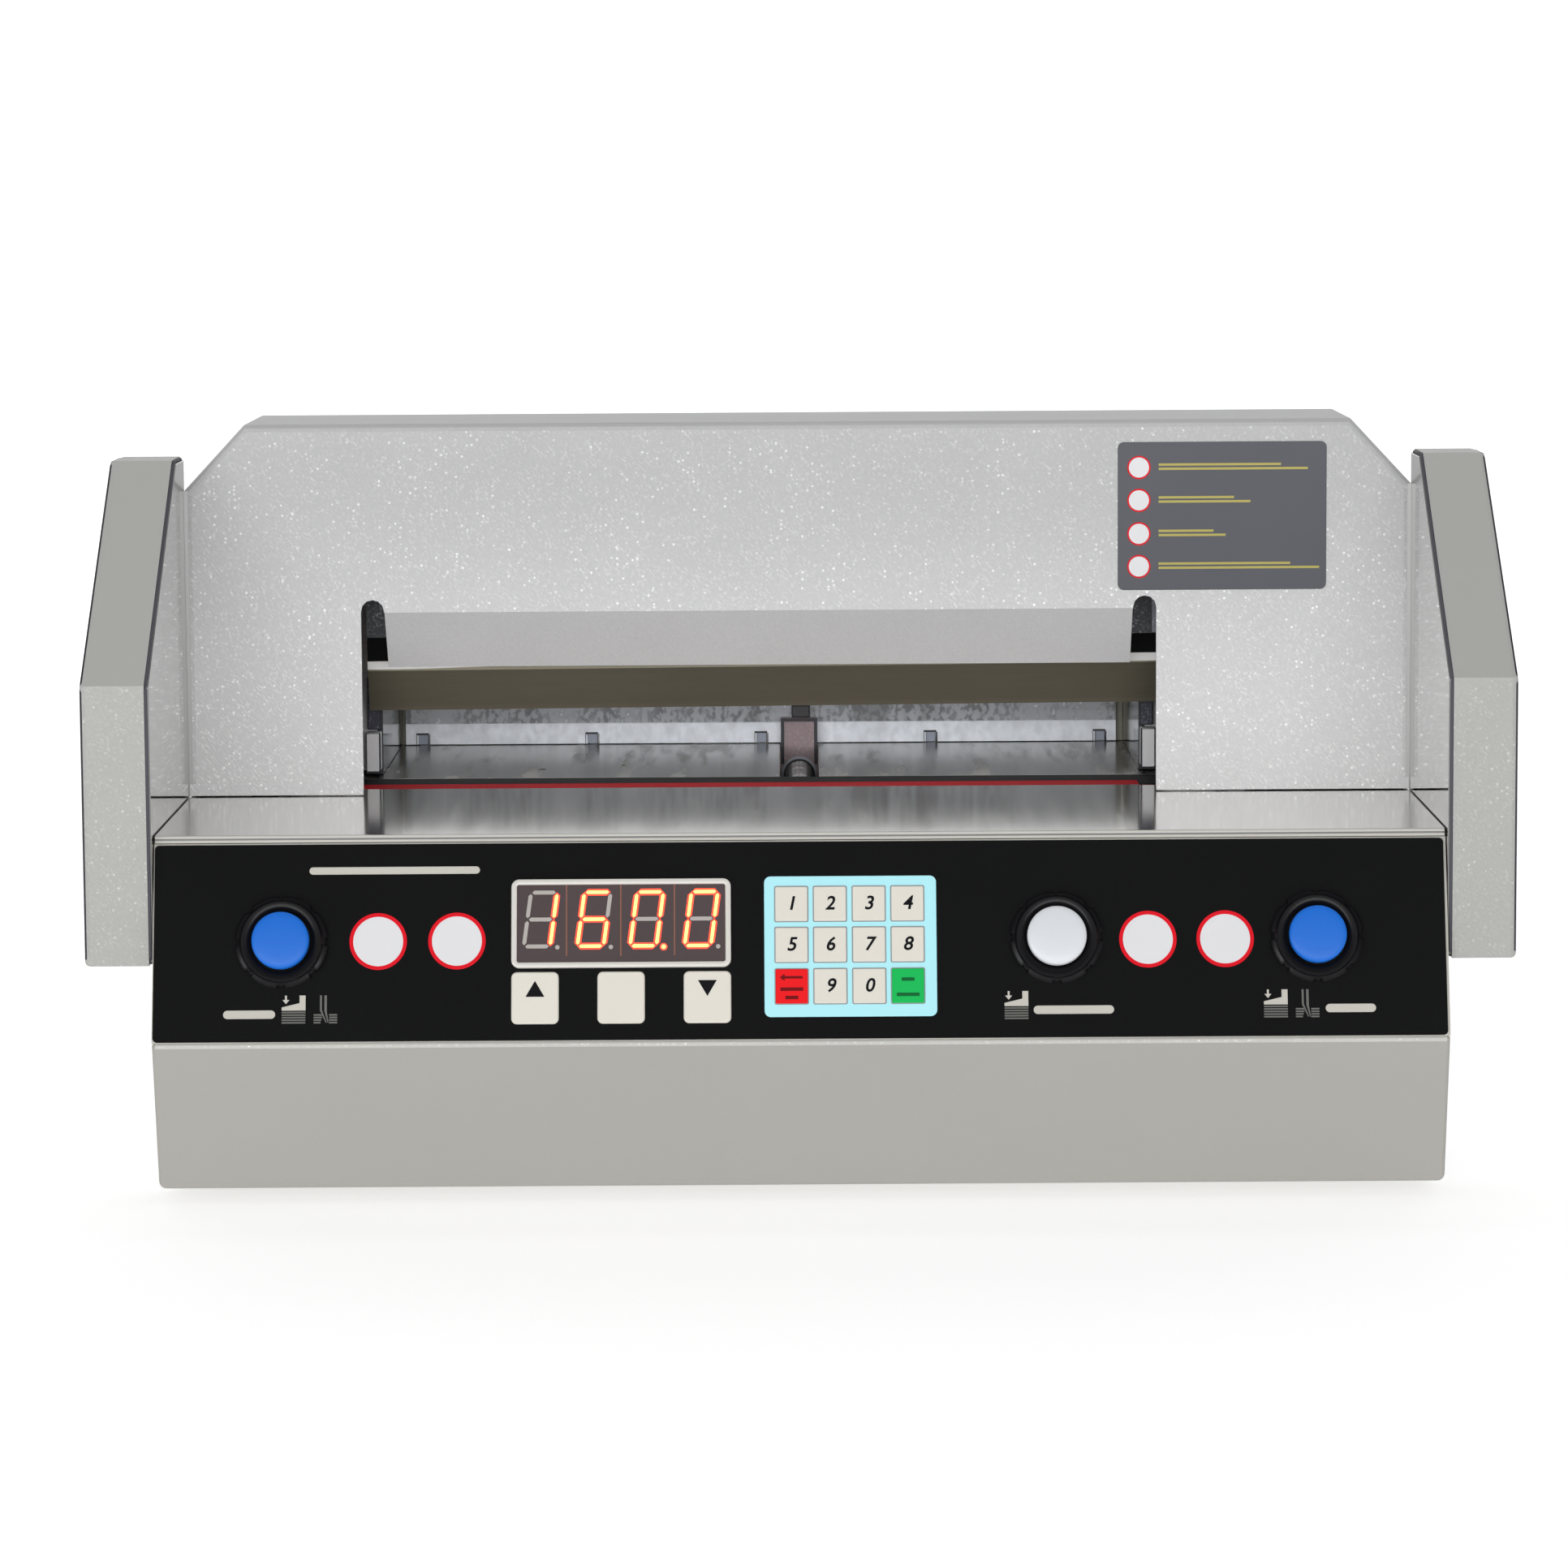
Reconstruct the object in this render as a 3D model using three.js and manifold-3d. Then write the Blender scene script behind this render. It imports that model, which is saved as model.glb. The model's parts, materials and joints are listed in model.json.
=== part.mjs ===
// Electric paper cutter: a table-top guillotine with a digital back gauge.
// Lengths are in millimetres. X runs to the right, Y runs back from the upper cover's front face
// and Z runs up from the table top. The finished machine is then set down on its feet.

import * as THREE from 'three';
import { mergeVertices } from 'three/addons/utils/BufferGeometryUtils.js';
import Module from 'manifold-3d';

const wasm = await Module();
wasm.setup();

// Driving sizes of the whole machine
const bodyWidth = 523.4;
const coverHeight = 159.3;
const coverDepth = 85;
const frontReach = 133.74;
const rearReach = 410;
const housingDrop = 144;
const footHeight = 5;
const throatSurround = 188.4;
const throatCentre = -17;
const cutPlane = 38;

// Stock, running clearances and facets
const sheet = 2;
const fit = 0.3;
const overrun = 4;
const roundSteps = 24;
const smallSteps = 14;
const arcSteps = 3;
const beltSteps = 10;

// Tables and the cutting bed
const tableThickness = 3;
const tableEdgeRadius = 1.2;
const tongueMargin = 8;
const journalLength = 12;
const tableBack = 5.5;
const stickStart = 25;
const stickWidth = 17;
const stickDepth = 8;
const bedWidth = 38;
const bedDepth = 24;
const bedBeamDepth = 26;
const bedBeamStart = 42;
const bedBeamWidth = 20;

// Upper cover, its front opening and the slanted flange over it
const coverLift = 1.7;
const coverEdgeRadius = 3;
const cornerWidth = 25.7;
const cornerHeight = 27.6;
const openingMargin = 2.6;
const slotWidth = 9.9;
const slotTopDrop = 75;
const flangeGap = 0.2;
const flangeBendDrop = 80.4;
const flangeHeight = 25.2;
const flangeDepth = 20;
const rearOpeningTop = 50;

// Side wings
const wingThickness = 28;
const wingPlate = 1.5;
const wingWall = 3;
const wingFront = 142;
const wingFoot = 52;
const wingShoulder = 62;
const wingTopDrop = 13.3;
const wingCrest = 26;
const wingBack = 5;
const wingEdgeRadius = 2.4;

// Console, its sloping panel and the lower front cover
const consoleDepth = 13.74;
const panelDrop = 3.3;
const panelOut = 23.605;
const panelRise = 78;
const consoleWall = 3;
const lowerTuck = 17;
const lowerWall = 2.5;
const lowerCornerRadius = 14;
const overlayThickness = 1;
const overlayTopMargin = 1.8;
const overlaySideMargin = 1.2;
const overlayFootMargin = 1;
const overlayCornerRadius = 2.5;
const displayInset = 145;
const displayWidth = 88.7;
const displayTop = 15.8;
const displayHeight = 36.2;
const displayRim = 2.6;
const displayProud = 1.8;
const displayFloor = 0.6;
const displayCornerRadius = 3.2;

// Push buttons
const buttonLine = 40.9;
const buttonLeftInset = 52.3;
const buttonMiddleInset = 158.4;
const buttonRightInset = 53.3;
const capRadius = 12;
const capHeight = 4.6;
const capCrown = 0.9;
const capTravel = 3;
const seatRadius = 18.8;
const seatHeight = 4.9;
const seatFloor = 1;
const seatChamfer = 1;
const barrelRadius = 10.6;
const barrelDepth = 26;
const plungerRadius = 6.6;
const plungerDepth = 18;

// Rear housing
const deckHeight = 45;
const guideWall = 2;
const deckFlange = 9;
const guideInset = 4.7;
const guideBlockShift = 0.5;
const guideBlockWidth = 5.8;
const guideBlockDepth = 12;
const guideBlockFoot = 2.7;
const guideBlockHeight = 16.8;
const ventSlotWidth = 4;
const ventSlotLength = 60;
const ventPitch = 9;
const ventCount = 9;
const ventMiddle = 126;
const sideVentCount = 7;
const flangeProud = 3;

// Feet
const footRadius = 15;
const footWaist = 12.5;
const spigotRadius = 4;
const footSideInset = 42;
const footFrontY = -70;
const footRearInset = 62;

// Inlet and mains rocker
const inletInset = 71.7;
const inletRise = 52;
const inletWidth = 50;
const inletHeight = 62;
const inletBodyWidth = 32;
const inletBodyHeight = 46;
const inletBodyDepth = 24;
const inletCornerRadius = 4;
const socketWidth = 24;
const socketHeight = 16;
const socketDepth = 15;
const socketShift = 11;
const pinWidth = 2;
const pinHeight = 4;
const pinSpacing = 7;
const pinLength = 11;
const rockerWidth = 21;
const rockerHeight = 14;
const rockerDepth = 7;
const rockerShift = 13;
const rockerSag = 1.5;
const rockerTilt = 8;
const rockerWell = 12;

// Side frames and cross beam
const frameThickness = 12;
const frameGapLeft = 39.5;
const frameGapRight = 45.5;
const frameFront = 76;
const frameRear = 110;
const frameHeadFront = 6;
const frameHeadRear = 62;
const frameHeadDrop = 9.3;
const frameHeadCorner = 14;
const frameHoleRadius = 26;
const frameHoleY = 62;
const frameHoleRise = 49;
const beamFront = 40;
const beamFootDrop = 67.3;
const beamHeight = 36;

// Knife and its carrier
const knifeThickness = 8;
const knifeEdge = 33;
const knifeBevel = 18;
const knifeTopDrop = 71.3;
const knifeRun = 27;
const knifeLift = 2;
const carrierFront = 22.5;
const carrierFootDrop = 93.2;
const carrierTopDrop = 18.3;
const ribFootDrop = 45.3;
const ribFront = 8;
const ribCorner = 6;
const knifeDrop = 32.6;
const knifeShift = 8;
const guideSlotDrop = 59.3;
const rollerRadius = 6;
const rollerHead = 8.5;
const rollerHeadLength = 2.5;
const rollerStub = 4;
const rollerSeat = 6;
const rollerInset = 62.5;
const boltRadius = 4.6;
const boltDepth = 2;
const boltLineDrop = 83.3;
const boltCount = 7;

// Clamp
const clampFront = 39;
const clampRear = 61.5;
const clampFoot = 38;
const clampFootHeight = 16;
const clampWebFront = 44;
const clampWebRear = 57;
const clampTopDrop = 71.3;
const clampSide = 1.5;
const clampRibCount = 6;
const clampRibWidth = 6;
const clampScrewRadius = 8;
const clampBossRadius = 12;
const clampScrewFoot = 42;
const clampRodRadius = 6;
const clampRodInset = 42.5;
const clampRodDrop = 8.3;
const thrustCollarRadius = 12;
const thrustCollar = 3;

// Clamp drive on top of the beam
const clampBoxWidth = 48;
const clampBoxDepth = 32;
const clampBoxHeight = 25;
const clampMotorRadius = 11.5;
const clampMotorRoom = 12.7;
const motorEndCap = 6;
const motorStep = 1.5;

// Knife drive below the table
const leverRoom = 67;
const leverThickness = 8;
const leverHubRadius = 18;
const leverEyeRadius = 11;
const shaftRadius = 9;
const shaftRise = 74;
const drivePinRadius = 4.5;
const linkThickness = 5;
const linkWidth = 14;
const linkEyeRadius = 10.5;
const linkSideGap = 2.5;
const linkSlotPlay = 2.2;
const carrierPinDrop = 35.3;
const carrierPinY = 22;
const pinProud = 2;
const gearboxWidth = 62;
const gearboxFrontGap = 8;
const gearboxRearReach = 29.2;
const gearboxRise = 110;
const gearboxFootHeight = 8;
const gearboxFootReach = 12;
const knifeMotorRadius = 30;
const knifeMotorLength = 108;
const knifeMotorAhead = 34.8;
const knifeMotorRise = 47;

// Back gauge, its carriage and lead screw
const gaugeSetting = 160;
const gaugeSide = 1.6;
const gaugeHeight = 44;
const gaugeStrip = 9.8;
const gaugeStripProud = 0.6;
const gaugeWall = 6;
const gaugeFootDepth = 25;
const gaugeFootHeight = 9;
const gaugeRibWidth = 6;
const notchWidth = 5.3;
const notchHeight = 4.5;
const notchInset = 10.3;
const notchCount = 5;
const screwRadius = 6.5;
const screwZ = -13.8;
const journalRadius = 5;
const screwSlotWidth = 17.5;
const screwSlotRearMargin = 24;
const carriageTop = 12.3;
const carriagePlate = 6.5;
const carriageDepth = 33;
const carriageHalfWidth = 13;
const carriageFoot = 27;

// Gauge drive at the rear
const pulleyLength = 8;
const pulleyRearGap = 3;
const screwPulleyRadius = 8.2;
const motorPulleyRadius = 6.8;
const pulleyRim = 1.4;
const bracketThickness = 4;
const bracketHalfWidth = 34;
const bracketGap = 2;
const gaugeMotorRadius = 27;
const gaugeMotorLength = 84;
const gaugeMotorZ = -66;
const bracketFoot = -98;
const motorShaftRadius = 4;
const beltThickness = 1.6;
const beltSide = 1;

// Electronics on the bottom plate
const boardWidth = 150;
const boardDepth = 110;
const boardThickness = 1.6;
const boardInset = 119.7;
const boardY = 220;
const standoffRadius = 3.5;
const standoffHeight = 9;
const standoffInset = 9;
const relayWidth = 20;
const relayHeight = 16;
const relayCount = 3;
const relayPitch = 30;
const capacitorRadius = 12;
const capacitorHeight = 32;
const coreWidth = 70;
const coreDepth = 62;
const coreHeight = 52;
const coreInset = 139.7;
const coreY = 230;
const coilWidth = 42;
const coilBulge = 12;
const coreFootHeight = 4;
const coreFootReach = 14;

// Places that follow from the sizes above
const bodyHalf = bodyWidth / 2;
const innerHalf = bodyHalf - sheet;
const throatWidth = bodyWidth - throatSurround;
const throatLeft = throatCentre - throatWidth / 2;
const throatRight = throatCentre + throatWidth / 2;
const openingLeft = throatLeft - openingMargin;
const openingRight = throatRight + openingMargin;
const rearWall = rearReach - flangeProud;
const floorTop = -housingDrop + sheet;
const consoleBack = -frontReach + consoleDepth;
const underTable = -tableThickness - fit;
const leftFrame = throatLeft - frameGapLeft;
const rightFrame = throatRight + frameGapRight;
const rearTableFront = stickStart + bedWidth + fit;
const guideFront = coverDepth - guideInset;
const pulleyBack = rearWall - sheet - pulleyRearGap;
const pulleyFront = pulleyBack - pulleyLength;
const bracketFront = pulleyFront - bracketGap - bracketThickness;
const gaugeFace = cutPlane + gaugeSetting;
const slotTop = coverHeight - slotTopDrop;
const flangeBend = coverHeight - flangeBendDrop;
const flangeFoot = flangeBend - flangeHeight;
const wingTop = coverHeight - wingTopDrop;
const displayLeft = displayInset - bodyHalf;
const inletX = innerHalf - inletInset;
const inletZ = inletRise - housingDrop;
const frameHeadTop = coverHeight - frameHeadDrop;
const frameHoleZ = frameHoleRise - housingDrop;
const beamFoot = coverHeight - beamFootDrop;
const beamTop = beamFoot + beamHeight;
const knifeTop = coverHeight - knifeTopDrop;
const carrierFoot = coverHeight - carrierFootDrop;
const carrierTop = coverHeight - carrierTopDrop;
const ribFoot = coverHeight - ribFootDrop;
const guideSlotFoot = coverHeight - guideSlotDrop;
const boltLine = coverHeight - boltLineDrop;
const clampTop = coverHeight - clampTopDrop;
const clampMiddle = (clampFront + clampRear) / 2;
const clampRodTop = coverHeight - clampRodDrop;
const clampRodSpacing = throatWidth - 2 * clampRodInset;
const carrierPinZ = coverHeight - carrierPinDrop;
const boardX = innerHalf - boardInset;
const coreX = coreInset - innerHalf;
const panelLength = Math.hypot(panelOut, panelRise);
const panelAngle = Math.atan2(panelRise, panelOut);
const panelFootY = -frontReach - panelOut;
const panelFootZ = -panelDrop - panelRise;
const leverLength = carrierPinY - consoleBack - leverRoom;
const startSwing = Math.asin(knifeDrop / 2 / leverLength);
const shaftZ = shaftRise - housingDrop;
const shaftY = carrierPinY - leverLength * Math.cos(startSwing);
const leverPinZ = shaftZ + leverLength * Math.sin(startSwing);
const gearboxFront = consoleBack + gearboxFrontGap;
const gearboxRear = shaftY + gearboxRearReach;
const gearboxTop = gearboxRise - housingDrop;

// Finishes
const finish = (color, roughness, metalness) => ({ color, roughness, metalness });
const FINISHES = {
  hammered: finish(0xc8c8c8, 0.45, 0.25),
  cream: finish(0xe1dcd0, 0.4, 0.05),
  grey: finish(0xacaaa2, 0.5, 0.1),
  overlay: finish(0x191a1b, 0.12, 0),
  blue: finish(0x2d73d7, 0.3, 0),
  white: finish(0xdedfe3, 0.3, 0),
  black: finish(0x202124, 0.5, 0),
  red: finish(0x96282d, 0.5, 0),
  steel: finish(0xb4b4b0, 0.28, 1),
  mirror: finish(0xc9c9c6, 0.08, 1),
  knife: finish(0x8d8a7c, 0.2, 1),
  cast: finish(0x4f5152, 0.6, 0.6),
  machined: finish(0x9a9c9e, 0.35, 0.9),
  brass: finish(0xb28c70, 0.4, 0.7),
  rubber: finish(0x1c1c1e, 0.8, 0),
  board: finish(0x1f5a3a, 0.5, 0),
};

// Shapes made from three.js geometry
const point = (x, y) => new THREE.Vector2(x, y);

function outline(points) {
  return new THREE.Shape(points.map(([x, y]) => point(x, y)));
}

function roundedRect(x0, x1, y0, y1, radius) {
  const shape = new THREE.Shape();
  shape.moveTo(x0 + radius, y0);
  shape.lineTo(x1 - radius, y0);
  shape.absarc(x1 - radius, y0 + radius, radius, -Math.PI / 2, 0);
  shape.lineTo(x1, y1 - radius);
  shape.absarc(x1 - radius, y1 - radius, radius, 0, Math.PI / 2);
  shape.lineTo(x0 + radius, y1);
  shape.absarc(x0 + radius, y1 - radius, radius, Math.PI / 2, Math.PI);
  shape.lineTo(x0, y0 + radius);
  shape.absarc(x0 + radius, y0 + radius, radius, Math.PI, 1.5 * Math.PI);
  return shape;
}

function capsule(x0, y0, x1, y1, radius) {
  const angle = Math.atan2(y1 - y0, x1 - x0);
  const shape = new THREE.Shape();
  shape.absarc(x1, y1, radius, angle - Math.PI / 2, angle + Math.PI / 2);
  shape.absarc(x0, y0, radius, angle + Math.PI / 2, angle + 1.5 * Math.PI);
  return shape;
}

function solidOf(geometry) {
  geometry.deleteAttribute('normal');
  geometry.deleteAttribute('uv');
  const merged = mergeVertices(geometry);
  return new wasm.Manifold(new wasm.Mesh({
    numProp: 3,
    vertProperties: new Float32Array(merged.attributes.position.array),
    triVerts: new Uint32Array(merged.index.array),
  }));
}

function geometryOf(solid) {
  const mesh = solid.getMesh();
  const geometry = new THREE.BufferGeometry();
  geometry.setAttribute('position', new THREE.BufferAttribute(mesh.vertProperties, mesh.numProp));
  geometry.setIndex(new THREE.BufferAttribute(mesh.triVerts, 1));
  geometry.computeVertexNormals();
  return geometry;
}

function block(x0, x1, y0, y1, z0, z1) {
  const geometry = new THREE.BoxGeometry(x1 - x0, y1 - y0, z1 - z0);
  geometry.translate((x0 + x1) / 2, (y0 + y1) / 2, (z0 + z1) / 2);
  return solidOf(geometry);
}

function extruded(shape, depth, basis, offset, bevel = 0) {
  const geometry = new THREE.ExtrudeGeometry(shape, {
    depth: depth - 2 * bevel,
    bevelEnabled: bevel > 0,
    bevelThickness: bevel,
    bevelSize: bevel,
    bevelOffset: -bevel,
    bevelSegments: 3,
    curveSegments: arcSteps,
  });
  geometry.translate(0, 0, bevel);
  geometry.applyMatrix4(basis);
  geometry.translate(offset.x, offset.y, offset.z);
  return solidOf(geometry);
}

const axes = (x, y, z) => new THREE.Matrix4().makeBasis(x, y, z);
const RIGHT = new THREE.Vector3(1, 0, 0);
const BACK = new THREE.Vector3(0, 1, 0);
const UP = new THREE.Vector3(0, 0, 1);
const FORWARD = new THREE.Vector3(0, -1, 0);

// A side view (Y, Z) pushed along X, a front view (X, Z) pushed along Y, a plan (X, Y) along Z
const alongX = (shape, x0, x1, bevel) =>
  extruded(shape, x1 - x0, axes(BACK, UP, RIGHT), new THREE.Vector3(x0, 0, 0), bevel);
const alongY = (shape, y0, y1, bevel) =>
  extruded(shape, y1 - y0, axes(RIGHT, UP, FORWARD), new THREE.Vector3(0, y1, 0), bevel);
const alongZ = (shape, z0, z1, bevel) =>
  extruded(shape, z1 - z0, axes(RIGHT, BACK, UP), new THREE.Vector3(0, 0, z0), bevel);

// A turned piece from [radius, distance] pairs, with its axis along X, Y or Z
function turned(profile, axis, centre, steps = roundSteps) {
  const geometry = new THREE.LatheGeometry(profile.map(([r, h]) => point(r, h)), steps);
  if (axis === RIGHT) geometry.rotateZ(-Math.PI / 2);
  if (axis === UP) geometry.rotateX(Math.PI / 2);
  geometry.translate(centre.x, centre.y, centre.z);
  return solidOf(geometry);
}

const at = (x, y, z) => new THREE.Vector3(x, y, z);
const rod = (radius, from, to) => [[0, from], [radius, from], [radius, to], [0, to]];
const rodX = (y, z, radius, x0, x1, steps) => turned(rod(radius, x0, x1), RIGHT, at(0, y, z), steps);
const rodY = (x, z, radius, y0, y1, steps) => turned(rod(radius, y0, y1), BACK, at(x, 0, z), steps);
const rodZ = (x, y, radius, z0, z1, steps) => turned(rod(radius, z0, z1), UP, at(x, y, 0), steps);

const joined = (first, ...others) => others.reduce((whole, next) => whole.add(next), first);
const cut = (first, ...others) => others.reduce((whole, next) => whole.subtract(next), first);
const spread = (count, pitch) => Array.from({ length: count }, (_, i) => (i - (count - 1) / 2) * pitch);

function piece(group, name, solid, look) {
  const mesh = new THREE.Mesh(geometryOf(solid), new THREE.MeshStandardMaterial(FINISHES[look]));
  mesh.name = name;
  group.add(mesh);
  return mesh;
}

// Bottom plate, side panels, rear panel and feet
function footPlaces() {
  const x = bodyHalf - footSideInset;
  const rear = rearWall - footRearInset;
  return {
    front_left: [-x, footFrontY],
    front_right: [x, footFrontY],
    rear_left: [-x, rear],
    rear_right: [x, rear],
  };
}

function ventSlots(count, make) {
  return spread(count, ventPitch).map((shift) => make(shift));
}

function makeBase(group) {
  const half = innerHalf - fit;
  const front = consoleBack + fit;
  const back = rearWall - sheet - fit;
  const low = -housingDrop - overrun;
  const high = floorTop + overrun;
  let plate = block(-half, half, front, back, -housingDrop, floorTop);
  for (const [x, y] of Object.values(footPlaces())) {
    plate = plate.subtract(rodZ(x, y, spigotRadius + fit, low, high, smallSteps));
  }
  const ventHalf = ventSlotLength / 2;
  plate = cut(plate, ...ventSlots(ventCount, (shift) => alongZ(
    capsule(-ventHalf, ventMiddle + shift, ventHalf, ventMiddle + shift, ventSlotWidth / 2), low, high)));
  piece(group, 'bottom_plate', plate, 'grey');

  for (const [name, [x, y]] of Object.entries(footPlaces())) {
    const top = -housingDrop - fit;
    const foot = turned([[0, -housingDrop - footHeight], [footWaist, -housingDrop - footHeight],
      [footRadius, -housingDrop - footHeight / 2], [footRadius, top], [spigotRadius, top],
      [spigotRadius, floorTop], [0, floorTop]], UP, at(0, 0, 0), smallSteps);
    piece(group, `foot_${name}`, foot, 'rubber').position.set(x, y, 0);
  }
}

function makeSidePanel(group, side, name) {
  const step = coverDepth + fit;
  const shoulder = tableBack + fit;
  const ledge = coverLift - fit;
  const shape = outline([[consoleBack + fit, -housingDrop], [rearWall, -housingDrop], [rearWall, deckHeight],
    [step, deckHeight], [step, ledge], [shoulder, ledge], [shoulder, underTable],
    [consoleBack + fit, underTable]]);
  const inner = side * innerHalf;
  const outer = side * bodyHalf;
  let panel = alongX(shape, Math.min(inner, outer), Math.max(inner, outer));
  const middle = (coverDepth + rearWall) / 2;
  const low = -housingDrop / 2 - ventSlotLength / 2;
  panel = cut(panel, ...ventSlots(sideVentCount, (shift) => alongX(
    capsule(middle + shift, low, middle + shift, low + ventSlotLength, ventSlotWidth / 2),
    Math.min(inner, outer) - overrun, Math.max(inner, outer) + overrun)));
  piece(group, name, panel, 'hammered');
}

function makeRearPanel(group) {
  const half = innerHalf - fit;
  let panel = block(-half, half, rearWall - sheet, rearWall, -housingDrop, deckHeight);
  const holeWidth = inletBodyWidth / 2 + fit;
  const holeHeight = inletBodyHeight / 2 + fit;
  const hole = block(inletX - holeWidth, inletX + holeWidth, rearWall - sheet - overrun, rearWall + overrun,
    inletZ - holeHeight, inletZ + holeHeight);
  panel = panel.subtract(hole);
  const low = inletZ - ventSlotLength / 2;
  panel = cut(panel, ...ventSlots(ventCount, (shift) => alongY(
    capsule(coreX + shift, low, coreX + shift, low + ventSlotLength, ventSlotWidth / 2),
    rearWall - sheet - overrun, rearWall + overrun)));
  piece(group, 'rear_panel', panel, 'hammered');
}

// Mains inlet with its rocker in one moulded body
function makeInlet(group) {
  const face = rearWall + flangeProud;
  const seat = rearWall + fit;
  const flange = alongY(roundedRect(-inletWidth / 2, inletWidth / 2, -inletHeight / 2, inletHeight / 2,
    inletCornerRadius), seat, face);
  const body = block(-inletBodyWidth / 2, inletBodyWidth / 2, rearWall - inletBodyDepth, face - overrun / 2,
    -inletBodyHeight / 2, inletBodyHeight / 2);
  const socket = alongY(roundedRect(-socketWidth / 2, socketWidth / 2, -socketShift - socketHeight / 2,
    -socketShift + socketHeight / 2, inletCornerRadius / 2), face - socketDepth, face + overrun);
  const well = block(-rockerWidth / 2 - fit, rockerWidth / 2 + fit, face - rockerWell, face + overrun,
    rockerShift - rockerHeight / 2 - fit, rockerShift + rockerHeight / 2 + fit);
  let inlet = cut(joined(flange, body), socket, well);
  const pinRow = [[-1, 0], [0, 1], [1, 0]];
  for (const [column, row] of pinRow) {
    const x = column * pinSpacing;
    const z = -socketShift + (row - 1 / 2) * pinHeight;
    inlet = inlet.add(block(x - pinWidth / 2, x + pinWidth / 2, face - socketDepth - fit,
      face - socketDepth + pinLength, z - pinHeight / 2, z + pinHeight / 2));
  }
  piece(group, 'power_inlet', inlet, 'black').position.set(inletX, 0, inletZ);

  const half = rockerHeight / 2 - fit;
  const rocker = alongX(outline([[-rockerDepth, -half / 2], [0, -half], [-rockerSag, 0], [0, half],
    [-rockerDepth, half / 2]]), -rockerWidth / 2, rockerWidth / 2);
  const key = piece(group, 'mains_rocker', rocker, 'black');
  key.position.set(inletX, face - rockerSag, inletZ + rockerShift);
  key.rotation.x = THREE.MathUtils.degToRad(rockerTilt);
}

// Front table, cutting bed with its stick, and rear table with the screw slot
function makeTables(group) {
  const half = bodyHalf - fit;
  const front = -frontReach;
  const edge = new THREE.Shape();
  edge.moveTo(tableBack, 0);
  edge.lineTo(front + tableEdgeRadius, 0);
  edge.absarc(front + tableEdgeRadius, -tableEdgeRadius, tableEdgeRadius, Math.PI / 2, Math.PI);
  edge.lineTo(front, -tableThickness);
  edge.lineTo(tableBack, -tableThickness);
  const top = alongX(edge, -half, half);
  const tongue = block(throatLeft - tongueMargin, throatRight + tongueMargin, tableBack - overrun,
    stickStart - fit, -tableThickness, 0);
  piece(group, 'front_table', joined(top, tongue), 'steel');

  const bedBack = stickStart + bedWidth;
  const left = throatLeft - tongueMargin;
  const right = throatRight + tongueMargin;
  const bed = alongX(outline([[stickStart, -bedDepth], [bedBack, -bedDepth], [bedBack, 0],
    [stickStart + stickWidth + fit, 0], [stickStart + stickWidth + fit, -stickDepth - fit],
    [stickStart, -stickDepth - fit]]), left, right);
  const journalHole = rodY(0, screwZ, journalRadius + fit, bedBack - journalLength, bedBack + overrun,
    smallSteps);
  piece(group, 'cutting_bed', bed.subtract(journalHole), 'black');
  const stick = block(left, right, stickStart, stickStart + stickWidth, -stickDepth, 0);
  piece(group, 'cutting_stick', stick, 'red');

  const beam = block(leftFrame + fit, rightFrame - fit, bedBeamStart, bedBeamStart + bedBeamWidth,
    -bedDepth - fit - bedBeamDepth, -bedDepth - fit);
  piece(group, 'bed_beam', beam, 'cast');

  const rearHalf = innerHalf - fit;
  const rearBack = rearWall - sheet - fit;
  const slot = capsule(0, rearTableFront - screwSlotWidth, 0, rearBack - screwSlotRearMargin,
    screwSlotWidth / 2);
  const rear = block(-rearHalf, rearHalf, rearTableFront, rearBack, -tableThickness, 0);
  piece(group, 'rear_table', rear.subtract(alongZ(slot, -tableThickness - overrun, overrun)), 'steel');
}

// Folded side guides: the wall beside the sheets, the deck over to the side panel and its flange
function makeSideGuide(group, side, name) {
  const wall = side < 0 ? throatLeft : throatRight;
  const outer = side * (innerHalf - fit);
  const near = (a, b) => [Math.min(a, b), Math.max(a, b)];
  const front = coverDepth + fit;
  const back = rearWall - sheet - fit;
  const upright = block(...near(wall, wall + side * guideWall), guideFront, back, fit, deckHeight);
  const deck = block(...near(wall, outer), front, back, deckHeight - guideWall, deckHeight);
  const flange = block(...near(outer - side * guideWall, outer), front, back, deckHeight - deckFlange,
    deckHeight);
  piece(group, name, joined(upright, deck, flange), 'steel');
}

function makeGuideBlock(group, side, name) {
  const wall = side < 0 ? throatLeft : throatRight;
  const inner = wall + side * guideBlockShift;
  const outer = inner + side * guideBlockWidth;
  const back = guideFront - fit;
  const solid = block(Math.min(inner, outer), Math.max(inner, outer), back - guideBlockDepth, back,
    guideBlockFoot, guideBlockFoot + guideBlockHeight);
  piece(group, name, solid, 'grey');
}

// Upper cover: one bent and rounded shell with the slotted opening and the slanted flange
function coverOutline(inset, foot) {
  const slope = Math.hypot(cornerWidth, cornerHeight);
  const x = bodyHalf - inset;
  const top = coverHeight - inset;
  const shoulder = coverHeight - cornerHeight - inset * (slope - cornerHeight) / cornerWidth;
  const crest = bodyHalf - cornerWidth - inset * (slope - cornerWidth) / cornerHeight;
  return outline([[-x, foot], [x, foot], [x, shoulder], [crest, top], [-crest, top], [-x, shoulder]]);
}

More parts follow.
